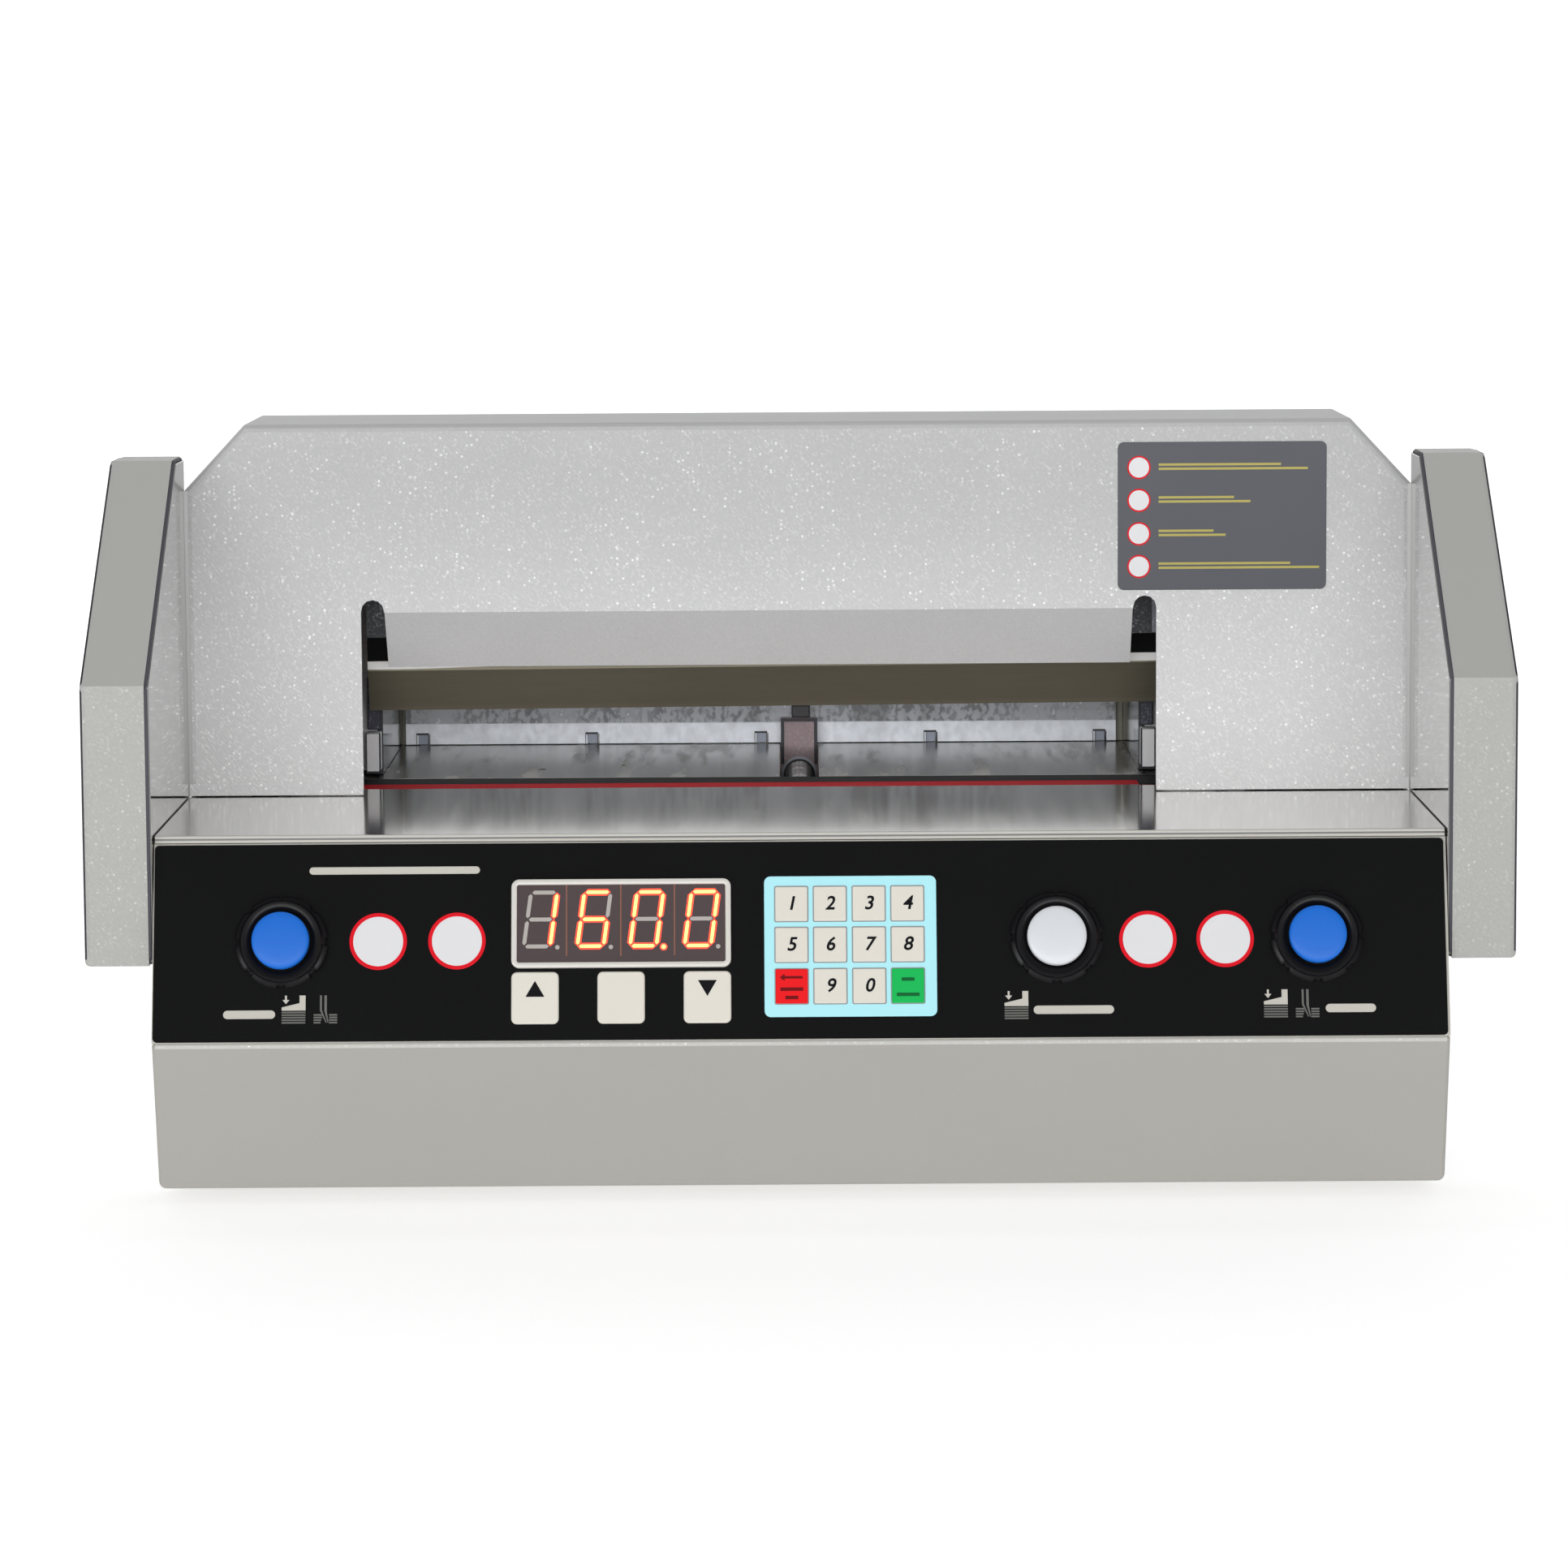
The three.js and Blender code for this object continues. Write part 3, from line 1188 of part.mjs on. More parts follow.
machine.position.set(0, (capReach() - rearReach) / 2, housingDrop + footHeight);

const cutter = new THREE.Group();
cutter.add(machine);
export default cutter;
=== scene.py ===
"""Looks of the electric paper cutter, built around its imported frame.

Every length in a dataclass is in millimetres of the machine's own frame: X to the right, Y back from the
upper cover's front face, Z up from the table top. Meshes are written in metres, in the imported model's frame.
"""

import json
import logging
import math
from collections.abc import Callable, Iterable, Sequence
from dataclasses import dataclass, field
from enum import Enum

import bmesh
import bpy
from mathutils import Matrix, Vector


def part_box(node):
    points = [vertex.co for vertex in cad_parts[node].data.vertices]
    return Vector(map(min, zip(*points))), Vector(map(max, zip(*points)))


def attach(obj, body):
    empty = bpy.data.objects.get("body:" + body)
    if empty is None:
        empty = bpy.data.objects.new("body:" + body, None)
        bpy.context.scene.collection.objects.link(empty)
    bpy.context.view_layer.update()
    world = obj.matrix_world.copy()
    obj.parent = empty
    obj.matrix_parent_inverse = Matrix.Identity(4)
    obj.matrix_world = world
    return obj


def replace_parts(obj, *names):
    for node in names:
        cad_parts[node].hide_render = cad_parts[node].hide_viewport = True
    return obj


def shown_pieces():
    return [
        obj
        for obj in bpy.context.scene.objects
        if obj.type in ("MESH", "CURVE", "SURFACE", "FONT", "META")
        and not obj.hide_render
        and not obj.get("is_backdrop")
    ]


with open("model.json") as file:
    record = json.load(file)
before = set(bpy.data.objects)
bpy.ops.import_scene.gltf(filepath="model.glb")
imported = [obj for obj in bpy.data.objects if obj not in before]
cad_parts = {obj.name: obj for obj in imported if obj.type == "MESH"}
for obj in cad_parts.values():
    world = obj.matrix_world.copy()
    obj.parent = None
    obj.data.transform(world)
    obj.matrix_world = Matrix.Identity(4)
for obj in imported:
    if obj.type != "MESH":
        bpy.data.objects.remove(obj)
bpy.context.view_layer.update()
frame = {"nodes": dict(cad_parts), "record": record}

logging.basicConfig(level=logging.INFO, format="%(name)s: %(message)s")
LOG = logging.getLogger("cutter")

MM = 0.001
TAU = 2 * math.pi
ORIGIN = Vector((0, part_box("upper_cover")[0].y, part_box("front_table")[1].z))

Point2 = tuple[float, float]
Colour = tuple[float, float, float]
Ring = list[Vector]


class Axis(Enum):
    """The machine's axes, as unit vectors."""

    X = (1, 0, 0)
    Y = (0, 1, 0)
    Z = (0, 0, 1)


# Shader maths


class Signal:
    """A node's output that takes part in Python arithmetic."""

    def __init__(self, shader: "Shader", socket: bpy.types.NodeSocket) -> None:
        """Wraps one output socket of a shader."""
        self.shader = shader
        self.socket = socket

    def _math(self, operation: str, *values: "Signal | float") -> "Signal":
        """Adds one Math node.

        Args:
            operation: the Math node's operation.
            values: its inputs, in order.

        Returns:
            The node's value.
        """
        return self.shader.node("ShaderNodeMath", {"operation": operation}, dict(enumerate(values)))

    def __add__(self, other: "Signal | float") -> "Signal":
        """Sum."""
        return self._math("ADD", self, other)

    def __sub__(self, other: "Signal | float") -> "Signal":
        """Difference."""
        return self._math("SUBTRACT", self, other)

    def __rsub__(self, other: float) -> "Signal":
        """Reflected difference, so that 1 - mask works."""
        return self._math("SUBTRACT", other, self)

    def __mul__(self, other: "Signal | float") -> "Signal":
        """Product."""
        return self._math("MULTIPLY", self, other)

    def __truediv__(self, other: "Signal | float") -> "Signal":
        """Quotient."""
        return self._math("DIVIDE", self, other)

    def __abs__(self) -> "Signal":
        """Size without its sign."""
        return self._math("ABSOLUTE", self)

    def least(self, other: "Signal | float") -> "Signal":
        """The smaller of two values."""
        return self._math("MINIMUM", self, other)

    def above(self, low: float, high: float) -> "Signal":
        """Rises smoothly from 0 at low to 1 at high."""
        sockets = {"Value": self, "From Min": low, "From Max": high}
        return self.shader.node("ShaderNodeMapRange", {"interpolation_type": "SMOOTHSTEP"}, sockets)

    def between(self, low: float, high: float, edge: float) -> "Signal":
        """1 from low to high, with soft edges of the given width."""
        return self.above(low - edge, low) * (1 - self.above(high, high + edge))

    __radd__ = __add__
    __rmul__ = __mul__


class Shader:
    """One procedural material with a Principled surface, in the object's own coordinates."""

    def __init__(self, name: str) -> None:
        """Starts an empty material of that name.

        Args:
            name: the material's name.
        """
        self.material = bpy.data.materials.new(name)
        self.material.use_nodes = True
        self.tree = self.material.node_tree
        self.tree.nodes.clear()
        self.surface = self.tree.nodes.new("ShaderNodeBsdfPrincipled")
        output = self.tree.nodes.new("ShaderNodeOutputMaterial")
        self.tree.links.new(self.surface.outputs[0], output.inputs["Surface"])
        self.place = Signal(self, self.tree.nodes.new("ShaderNodeTexCoord").outputs["Object"])

    def node(self, kind: str, settings: dict, sockets: dict, output: int | str = 0) -> Signal:
        """Adds any node.

        Args:
            kind: the node's type.
            settings: its own settings, set before its sockets.
            sockets: values or signals by input name or number.
            output: the output that is wanted.

        Returns:
            That output.
        """
        node = self.tree.nodes.new(kind)
        for name, value in settings.items():
            setattr(node, name, value)
        for key, value in sockets.items():
            self.feed(node.inputs[key], value)
        return Signal(self, node.outputs[output])

    def feed(self, socket: bpy.types.NodeSocket, value: object) -> None:
        """Links a signal to a socket, or sets the socket's constant.

        Args:
            socket: the input that is fed.
            value: a signal, a number, a vector or a colour.
        """
        if isinstance(value, Signal):
            self.tree.links.new(value.socket, socket)
        elif isinstance(value, tuple) and len(value) == 3 and len(getattr(socket, "default_value", ())) == 4:
            socket.default_value = (*value, 1)
        else:
            socket.default_value = value

    def set(self, **values: object) -> None:
        """Sets the surface's sockets; an underscore in a name stands for a space."""
        for name, value in values.items():
            self.feed(self.surface.inputs[name.replace("_", " ")], value)

    def mapped(self, scale: tuple = (1, 1, 1), turn: tuple = (0, 0, 0)) -> Signal:
        """The place in metres, turned and then scaled."""
        turned = self.node("ShaderNodeMapping", {}, {"Vector": self.place, "Rotation": turn})
        return self.node("ShaderNodeMapping", {}, {"Vector": turned, "Scale": scale})

    def noise(self, size: float, detail: float = 2, scale: tuple = (1, 1, 1),
              turn: tuple = (0, 0, 0)) -> Signal:
        """Soft noise with features of about the given size in millimetres."""
        sockets = {"Vector": self.mapped(scale, turn), "Scale": 1 / (size * MM), "Detail": detail}
        return self.node("ShaderNodeTexNoise", {}, sockets)

    def cells(self, size: float, output: str = "Distance", scale: tuple = (1, 1, 1)) -> Signal:
        """Voronoi cells of about the given size in millimetres."""
        sockets = {"Vector": self.mapped(scale), "Scale": 1 / (size * MM)}
        return self.node("ShaderNodeTexVoronoi", {}, sockets, output)

    def part(self, vector: Signal, axis: Axis) -> Signal:
        """One component of a vector."""
        return self.node("ShaderNodeSeparateXYZ", {}, {0: vector}, axis.name)

    def normal(self, axis: Axis) -> Signal:
        """One component of the surface's normal."""
        return self.part(self.node("ShaderNodeNewGeometry", {}, {}, "Normal"), axis)

    def mix(self, share: Signal | float, low: Signal | Colour, high: Signal | Colour) -> Signal:
        """Blends two colours."""
        return self.node("ShaderNodeMix", {"data_type": "RGBA"}, {"Factor": share, 6: low, 7: high}, 2)

    def shade(self, colour: Colour, amount: Signal, low: float, high: float) -> Signal:
        """A colour that a value varies from low to high times itself."""
        return self.mix(amount, tuple(c * low for c in colour), tuple(min(1, c * high) for c in colour))

    def tinted(self, colour: Signal, amount: Signal) -> Signal:
        """A colour times a value."""
        return self.node("ShaderNodeVectorMath", {"operation": "SCALE"}, {0: colour, "Scale": amount})

    def bump(self, height: Signal, depth: float) -> None:
        """Raises the surface by a height of 0 to 1, times the depth in millimetres."""
        sockets = {"Height": height, "Distance": depth * MM, "Strength": 1}
        self.set(Normal=self.node("ShaderNodeBump", {}, sockets, "Normal"))


# Finishes

MADE: dict[str, bpy.types.Material] = {}
CREAM = (0.52, 0.505, 0.46)


@dataclass(frozen=True)
class Finish:
    """A plain finish with the slight unevenness that every real surface has."""

    name: str
    colour: Colour
    roughness: float = 0.45
    metallic: float = 0.0
    coat: float = 0.0
    specular: float = 0.5
    grain: float = 0.6
    depth: float = 0.02
    spread: float = 0.06

    BROAD = 40
    UNEVEN = 0.12

    def dress(self, shader: Shader) -> None:
        """Writes the nodes.

        Args:
            shader: the material under construction.
        """
        fine = shader.noise(self.grain, 3)
        wide = shader.noise(self.BROAD, 3)
        tone = shader.shade(self.colour, wide * 0.6 + fine * 0.4, 1 - self.spread, 1 + self.spread)
        shader.set(Base_Color=tone, Roughness=self.roughness + (fine - 0.5) * self.UNEVEN)
        shader.bump(fine, self.depth)

    def material(self) -> bpy.types.Material:
        """Makes the material once and hands it out after that.

        Returns:
            The finish's one material.
        """
        if self.name not in MADE:
            shader = Shader(f"{self.name}_finish")
            shader.set(Metallic=self.metallic, Coat_Weight=self.coat, Specular_IOR_Level=self.specular)
            self.dress(shader)
            MADE[self.name] = shader.material
        return MADE[self.name]


@dataclass(frozen=True)
class HammeredPaint(Finish):
    """Silver enamel with an orange-peel skin and short slanted streaks; its bright flakes are partly painted
    glints, fewer on faces tilted up or down. Faces turned up can take a painted top light, and the colour a
    painted light gradient with height.
    """

    streak: float = 0.85
    flake: float = 2.2
    lean: float = math.radians(42)
    lift: float = 1.3
    # Painted light gradient: table and the field after it make the colour lighter near the table and darker
    # with height.
    table: float = 0
    painted_light_slope: float = 0
    # Painted top light on faces turned up.
    upper: float = 1

    def dress(self, shader: Shader) -> None:
        """Writes the nodes.

        Args:
            shader: the material under construction.
        """
        streaks = shader.noise(self.streak, 3, (1, 1, 0.52), (0, self.lean, 0))
        ridges = streaks.above(0.5, 0.72) * shader.noise(5, 2).above(0.36, 0.6)
        patches = shader.noise(34, 3)
        flakes = shader.cells(self.flake)
        luck = shader.part(shader.cells(self.flake, "Color"), Axis.X)
        sparks = (1 - (flakes + streaks * 0.5 - 0.25).above(0.12, 0.3)) * luck.above(0.66, 0.8)
        upright = shader.normal(Axis.Z)
        # Painted glints: the lightened flakes and ridges are cut back on faces tilted up or down, where no
        # front light catches them.
        folded = abs(upright).above(0.12, 0.2)
        lively = (ridges * 0.5 + sparks * (0.5 + patches.above(0.35, 0.65))).least(1.0)
        lively = lively * (1 - folded * 0.9)
        ground = shader.shade(self.colour, patches * 0.3 + streaks * 0.7, 0.84, 1.1)
        # Painted top light: faces turned up take the colour times upper.
        ground = shader.mix(upright.above(0.3, 0.5), ground, tuple(c * self.upper for c in self.colour))
        flaky = shader.mix(lively, ground, tuple(min(1, c * self.lift) for c in self.colour))
        # Painted light gradient: lighter near the table, darker towards the top.
        rise = (shader.part(shader.place, Axis.Z) - self.table * MM).above(0.01, 0.15)
        shader.set(Base_Color=shader.tinted(flaky, 1 + self.painted_light_slope - rise * (2 * self.painted_light_slope)))
        shader.set(Roughness=self.roughness - lively * 0.12 + (streaks - 0.5) * 0.1)
        shader.bump((streaks * 0.6 + ridges * 0.4) * (1 - folded * 0.85), self.depth)


@dataclass(frozen=True)
class BrushedSteel(Finish):
    """Ground steel with fine lines along one axis and a few soft stains; a plate's cut edges can be dull."""

    along: Axis = Axis.X
    line: float = 0.25
    across: Axis | None = None
    rim: Colour = (0.2, 0.2, 0.2)

    def dress(self, shader: Shader) -> None:
        """Writes the nodes.

        Args:
            shader: the material under construction.
        """
        scale = tuple(0.02 if a is self.along else 1 for a in Axis)
        lines = shader.noise(self.line, 2, scale)
        bands = shader.noise(7, 2, scale)
        stains = shader.noise(30, 4)
        steel = shader.shade(self.colour, lines * 0.3 + bands * 0.4 + stains * 0.3, 0.86, 1.12)
        rough = self.roughness + (bands - 0.5) * 0.16 + stains.above(0.5, 0.8) * 0.07
        if self.across is not None:
            edge = 1 - abs(shader.normal(self.across)).above(0.5, 0.9)
            steel = shader.mix(edge, steel, self.rim)
            rough = rough + edge * 0.5
            shader.set(Metallic=(1 - edge) * self.metallic)
        shader.set(Base_Color=steel, Roughness=rough)
        shader.bump(lines * 0.6 + bands * 0.4, self.depth)


@dataclass(frozen=True)
class CastIron(Finish):
    """Dark casting with a pebbled skin and worn, lighter high spots."""

    worn: float = 3.4
    lift: float = 0.02

    def dress(self, shader: Shader) -> None:
        """Writes the nodes.

        Args:
            shader: the material under construction.
        """
        pebbles = shader.cells(self.grain * 3)
        skin = shader.noise(self.grain * 1.6, 4)
        patches = shader.noise(7, 4).above(0.4, 0.62)
        spots = (skin.above(0.5, 0.7) * (patches * 0.7 + 0.3)).least(1.0)
        bright = tuple(min(1, c * self.worn + self.lift) for c in self.colour)
        shader.set(Base_Color=shader.mix(spots * 0.8, self.colour, bright))
        shader.set(Roughness=self.roughness - spots * 0.2)
        shader.bump(pebbles * 0.5 + skin * 0.5, self.depth)


@dataclass(frozen=True)
class KnifeSteel(Finish):
    """Tool steel: a dark body with an olive bevel and a fine edge; over the bevel a near-white, non-metal
    strip that is a painted reflection, and above that a near-black face, partly dark oxide and partly painted
    shade under the carrier.
    """

    edge: float = 0
    bevel: float = 18.8
    strip: float = 3.2
    slope: float = 0
    left: float = -185
    rising: float = 85
    falling: float = 150
    # The next field lowers the painted reflection strip; the two after are the near black above it, partly
    # dark oxide and partly painted shade, and the painted reflection's near white.
    strip_drop: float = 1.3
    oil: Colour = (0.0015, 0.0015, 0.002)
    bright: Colour = (0.95, 0.945, 0.93)

    def dress(self, shader: Shader) -> None:
        """Writes the nodes.

        Args:
            shader: the material under construction.
        """
        rise = shader.part(shader.place, Axis.Z) - shader.part(shader.place, Axis.X) * self.slope
        height = (rise - self.edge * MM) / MM
        lines = shader.noise(0.3, 2, (0.015, 1, 1))
        clouds = shader.noise(30, 3, (0.25, 1, 1))
        across = shader.part(shader.place, Axis.X) / MM
        # This mask is no wear: it lowers the painted reflection strip over the left part of the blade.
        worn = across.above(self.left, self.left + self.rising) * (1 - across.above(0, self.falling))
        line = height - worn * self.strip_drop
        # Painted reflection: a near-white strip over the bevel stands for the light that the blade's upright
        # face reflects.
        ground = line.between(self.bevel, self.bevel + self.strip, 0.25)
        # Above the strip the face goes near black: partly dark oxide, partly painted shade under the carrier.
        back = line.above(self.bevel + self.strip, self.bevel + self.strip + 0.4)
        low = 1 - height.above(0.2, 3)
        steel = shader.shade(self.colour, lines * 0.3 + clouds * 0.5 + low * 0.2, 0.7, 1.3)
        shader.set(Base_Color=shader.mix(ground, shader.mix(back, steel, self.oil), self.bright))
        shader.set(Metallic=(1 - ground) * (1 - back) * self.metallic)
        shader.set(Roughness=self.roughness + clouds * 0.12 + back * 0.3)
        shader.set(Specular_IOR_Level=0.12)
        shader.bump(lines, self.depth)


@dataclass(frozen=True)
class GaugeSteel(Finish):
    """The back gauge: a bright bluish lower strip and a darker, mottled wall over it, with painted glints."""

    foot: float = 0
    strip: float = 9.8
    wall_dark: Colour = (0.16, 0.16, 0.165)
    glint: Colour = (0.75, 0.76, 0.78)

    def dress(self, shader: Shader) -> None:
        """Writes the nodes.

        Args:
            shader: the material under construction.
        """
        height = (shader.part(shader.place, Axis.Z) - self.foot * MM) / MM
        wall = height.above(self.strip - 0.1, self.strip + 0.3)
        blots = shader.noise(2.6, 5, (1, 1, 0.7))
        columns = shader.noise(24, 2, (1, 1, 0.1))
        smudges = shader.noise(5, 4, (1, 1, 0.8))
        wall_mottle = blots.above(0.44, 0.6) * columns.above(0.3, 0.6) + columns.above(0.58, 0.66) * 0.6
        wall_mottle = wall_mottle.least(1.0)
        clean = shader.shade(self.colour, smudges.above(0.3, 0.7), 0.9, 1.08)
        mottled = shader.mix(wall_mottle * 0.75, tuple(c * 0.52 for c in self.colour), self.wall_dark)
        # Painted glints: light spots over the mottled wall.
        mottled = shader.mix(blots.above(0.6, 0.68) * (1 - wall_mottle), mottled, self.glint)
        shader.set(Base_Color=shader.mix(wall, clean, mottled))
        shader.set(Roughness=self.roughness + wall * 0.12 + wall_mottle * 0.2)
        shader.bump(blots * wall, self.depth)


@dataclass(frozen=True)
class TableSteel(Finish):
    """Polished table plate whose front-to-back grain draws reflections out; its edges are bare and dull, with
    a dark band of painted shade under the top and cream below it.
    """

    level: float = 0
    lip: float = 1.2
    line: float = 0.7
    bare: Colour = (0.56, 0.55, 0.51)
    dark: Colour = (0.17, 0.17, 0.165)

    def dress(self, shader: Shader) -> None:
        """Writes the nodes.

        Args:
            shader: the material under construction.
        """
        side = 1 - shader.normal(Axis.Z).above(0.6, 0.97)
        below = self.level - shader.part(shader.place, Axis.Z) / MM
        # Painted shade: the dark band a little under the edge's top stands for the shadow gap below the
        # table's edge.
        line = below.between(self.lip, self.lip + self.line, 0.15)
        edge = shader.mix(line, self.bare, self.dark)
        lower = below.above(self.lip + self.line, self.lip + self.line + 0.2)
        curtain = shader.noise(7, 2, (1, 0.02, 1))
        stains = shader.noise(9, 4, (1, 0.1, 1))
        dull = stains.above(0.45, 0.75)
        steel = shader.shade(self.colour, curtain * 0.5 + stains * 0.5, 1 - self.spread, 1 + self.spread)
        shader.set(Base_Color=shader.mix(side, steel, shader.mix(lower, edge, CREAM)))
        shader.set(Metallic=(1 - side) * self.metallic)
        shader.set(Roughness=self.roughness + side * 0.4 + (curtain - 0.5) * 0.04 + dull * self.grain * 0.1)
        shader.bump(curtain, self.depth)


@dataclass(frozen=True)
class BoardFinish(Finish):
    """The control board: green lacquer with copper tracks below, black and blue parts above."""

    top: float = 0
    part_height: float = 17
    copper: Colour = (0.04, 0.22, 0.09)
    chip: Colour = (0.02, 0.02, 0.025)
    capacitor: Colour = (0.03, 0.08, 0.3)

    def dress(self, shader: Shader) -> None:
        """Writes the nodes.

        Args:
            shader: the material under construction.
        """
        height = (shader.part(shader.place, Axis.Z) - self.top * MM) / MM
        tracks = shader.cells(6).above(0.42, 0.5)
        lacquer = shader.mix(tracks, self.colour, self.copper)
        tall = height.above(self.part_height, self.part_height + 1)
        parts = shader.mix(tall, self.chip, self.capacitor)
        shader.set(Base_Color=shader.mix(height.above(0.2, 0.4), lacquer, parts))
        shader.set(Roughness=self.roughness + tracks * 0.08)
        shader.bump(tracks, self.depth)


@dataclass(frozen=True)
class Glow(Finish):
    """A lit segment: its colour shines evenly."""

    power: float = 1.0

    def dress(self, shader: Shader) -> None:
        """Writes the nodes.

        Args:
            shader: the material under construction.
        """
        dots = shader.noise(0.8, 1)
        shader.set(Base_Color=self.colour, Roughness=self.roughness, Emission_Strength=self.power)
        shader.set(Emission_Color=shader.shade(self.colour, dots, 0.92, 1.05))


def machine(node: str) -> tuple[Vector, Vector]:
    """A node's box in the machine's own millimetres."""
    return tuple((corner - ORIGIN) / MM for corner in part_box(node))


def above_origin(height: float) -> float:
    """A machine height as a height over the floor, in millimetres."""
    return height + ORIGIN.z / MM


def ink(name: str, colour: Colour, roughness: float = 0.6, specular: float = 0.1) -> Finish:
    """A thin dull print."""
    return Finish(name, colour, roughness, 0, 0, specular, 0.4, 0.004)


FINISHES: dict[str, Finish] = {finish.name: finish for finish in (
    # body_paint carries a painted light gradient with height, wing_paint a painted top light on faces turned
    # up.
    HammeredPaint("body_paint", (0.6, 0.6, 0.605), 0.5, 0.06, 0.02, 0.25, depth=0.17, lift=1.5,
                  table=above_origin(0), painted_light_slope=0.2),
    HammeredPaint("wing_paint", (0.385, 0.385, 0.37), 0.5, 0.06, 0.02, 0.3, depth=0.12, lift=1.35,
                  upper=1.22),
    Finish("cover_grey", (0.34, 0.33, 0.305), 0.5, 0, 0.05, grain=1.2, depth=0.03, spread=0.03),
    Finish("console_cream", CREAM, 0.42, 0, 0.15, grain=1.0, depth=0.02, spread=0.03),
    Finish("bezel_cream", (0.62, 0.6, 0.56), 0.32, 0, 0.2, grain=0.8, depth=0.01, spread=0.03),
    Finish("overlay_black", (0.005, 0.0052, 0.0055), 0.2, 0, 0, 0.06, 1.6, 0.004, 0.25),
    Finish("cap_blue", (0.01, 0.14, 0.6), 0.36, 0, 0, 0.25, grain=0.7, depth=0.008, spread=0.05),
    Finish("cap_white", (0.63, 0.65, 0.68), 0.34, 0, 0.1, grain=0.7, depth=0.008, spread=0.03),
    Finish("black_plastic", (0.005, 0.005, 0.006), 0.24, 0, 0, 0.14, 0.5, 0.01, 0.3),
    Finish("black_rubber", (0.013, 0.013, 0.014), 0.75, 0, 0, 0.3, 0.7, 0.06, 0.3),
    Finish("black_paint", (0.008, 0.008, 0.009), 0.6, 0, 0, 0.03, 0.6, 0.04, 0.3),
    Finish("stick_red", (0.72, 0.008, 0.02), 0.6, 0, 0, 0.02, 0.9, 0.02, 0.2),
    TableSteel("table_steel", (0.82, 0.81, 0.78), 0.11, 1, grain=0.15, depth=0.0015, spread=0.05,
               level=above_origin(0)),
    GaugeSteel("gauge_steel", (0.8, 0.83, 0.89), 0.4, 0.1, depth=0.05, foot=above_origin(0)),
    BrushedSteel("polished_plate", (0.76, 0.76, 0.75), 0.05, 1, depth=0.001, along=Axis.Z, line=0.8,
                 across=Axis.X),
    Finish("block_grey", (0.96, 0.97, 1.0), 0.5, 0, grain=0.8, depth=0.03),
    CastIron("cast_iron", (0.03, 0.031, 0.036), 0.55, 0.2, depth=0.12, worn=5),
    KnifeSteel("knife_steel", (0.165, 0.153, 0.115), 0.34, 0.6, depth=0.01, edge=above_origin(34),
               slope=2 / 364.5),
    BrushedSteel("machined_steel", (0.42, 0.42, 0.42), 0.34, 0.95, depth=0.01),
    CastIron("cast_aluminium", (0.36, 0.365, 0.37), 0.5, 0.7, depth=0.06, worn=1.4),
    Finish("motor_paint", (0.016, 0.017, 0.019), 0.4, 0.2, 0.2, grain=0.9, depth=0.03, spread=0.2),
    CastIron("carriage_brass", (0.3, 0.225, 0.235), 0.5, 0.1, depth=0.04, worn=1.3),
    BoardFinish("circuit_board", (0.015, 0.11, 0.05), 0.4, depth=0.03),
)}
GUIDE_STEEL = BrushedSteel("guide_steel", (0.36, 0.36, 0.33), 0.1, 1, depth=0.002, along=Axis.Y, line=0.8)
GUIDE_END = CastIron("guide_end", (0.035, 0.037, 0.055), 0.5, 0.2, depth=0.1, worn=4)
# Painted light: colour of the lighter patch on the carrier where light falls on it.
CARRIER_LIT_PATCH = CastIron("carrier_lit_patch", (0.2, 0.205, 0.24), 0.5, 0.05, depth=0.06, worn=2)
NOTCH_FLOOR = Finish("notch_floor", (0.3, 0.33, 0.4), 0.5, 0.2, grain=0.5, depth=0.02, spread=0.3)
COLLAR = Finish("collar_steel", (0.33, 0.34, 0.38), 0.45, 0.4, grain=0.5, depth=0.02, spread=0.2)
# Painted light: light grey for strips over the cover's shaded rounded side edges.
EDGE_LIGHT = Finish("edge_light_strip", (0.56, 0.56, 0.56), 0.5, 0, 0, 0.2, 0.8, 0.02, 0.1)
# Painted shade: dark felt that fills the gaps beside the gauge.
GAP_SHADE_FELT = Finish("gap_shade_felt", (0.24, 0.235, 0.2), 0.9, 0, 0, 0.1, 0.7, 0.05, 0.3)
# Painted highlight: light paint for the bead along the lower cover's rounded top edge.
FOLD_HIGHLIGHT = HammeredPaint("fold_highlight_paint", (0.52, 0.515, 0.49), 0.45, 0, 0.1, 0.3, depth=0.05, streak=1.4, lift=1.7)
GASKET = Finish("wing_gasket", (0.09, 0.09, 0.105), 0.6, 0, 0, 0.1, 0.6, 0.02, 0.2)
REAR_STEEL = TableSteel("rear_table_steel", (0.24, 0.232, 0.215), 0.2, 1, grain=1.6, depth=0.004, spread=0.3,
                        level=above_origin(0))
WINDOW = Finish("display_window", (0.05, 0.03, 0.032), 0.14, 0, 0.2, grain=1.5, depth=0.004, spread=0.2)
UNLIT = Finish("unlit_segment", (0.4, 0.37, 0.345), 0.4, grain=0.6, depth=0.01, spread=0.1)
HALO = Glow("segment_halo", (1.0, 0.045, 0.02), 0.5, power=1.5)
CORE = Glow("segment_core", (1.0, 0.52, 0.12), 0.5, power=2.2)
DIVIDER = Finish("display_divider", (0.2, 0.07, 0.04), 0.4, grain=0.6, depth=0.01)
KEY_CREAM = Finish("key_cream", (0.68, 0.65, 0.58), 0.34, 0, 0.2, grain=0.7, depth=0.01, spread=0.03)
KEY_SHADE = Finish("key_shade", (0.25, 0.28, 0.3), 0.45, grain=0.7, depth=0.01)
KEY_RED = Finish("key_red", (0.8, 0.006, 0.01), 0.4, 0, 0, 0.12, grain=0.7, depth=0.01, spread=0.05)
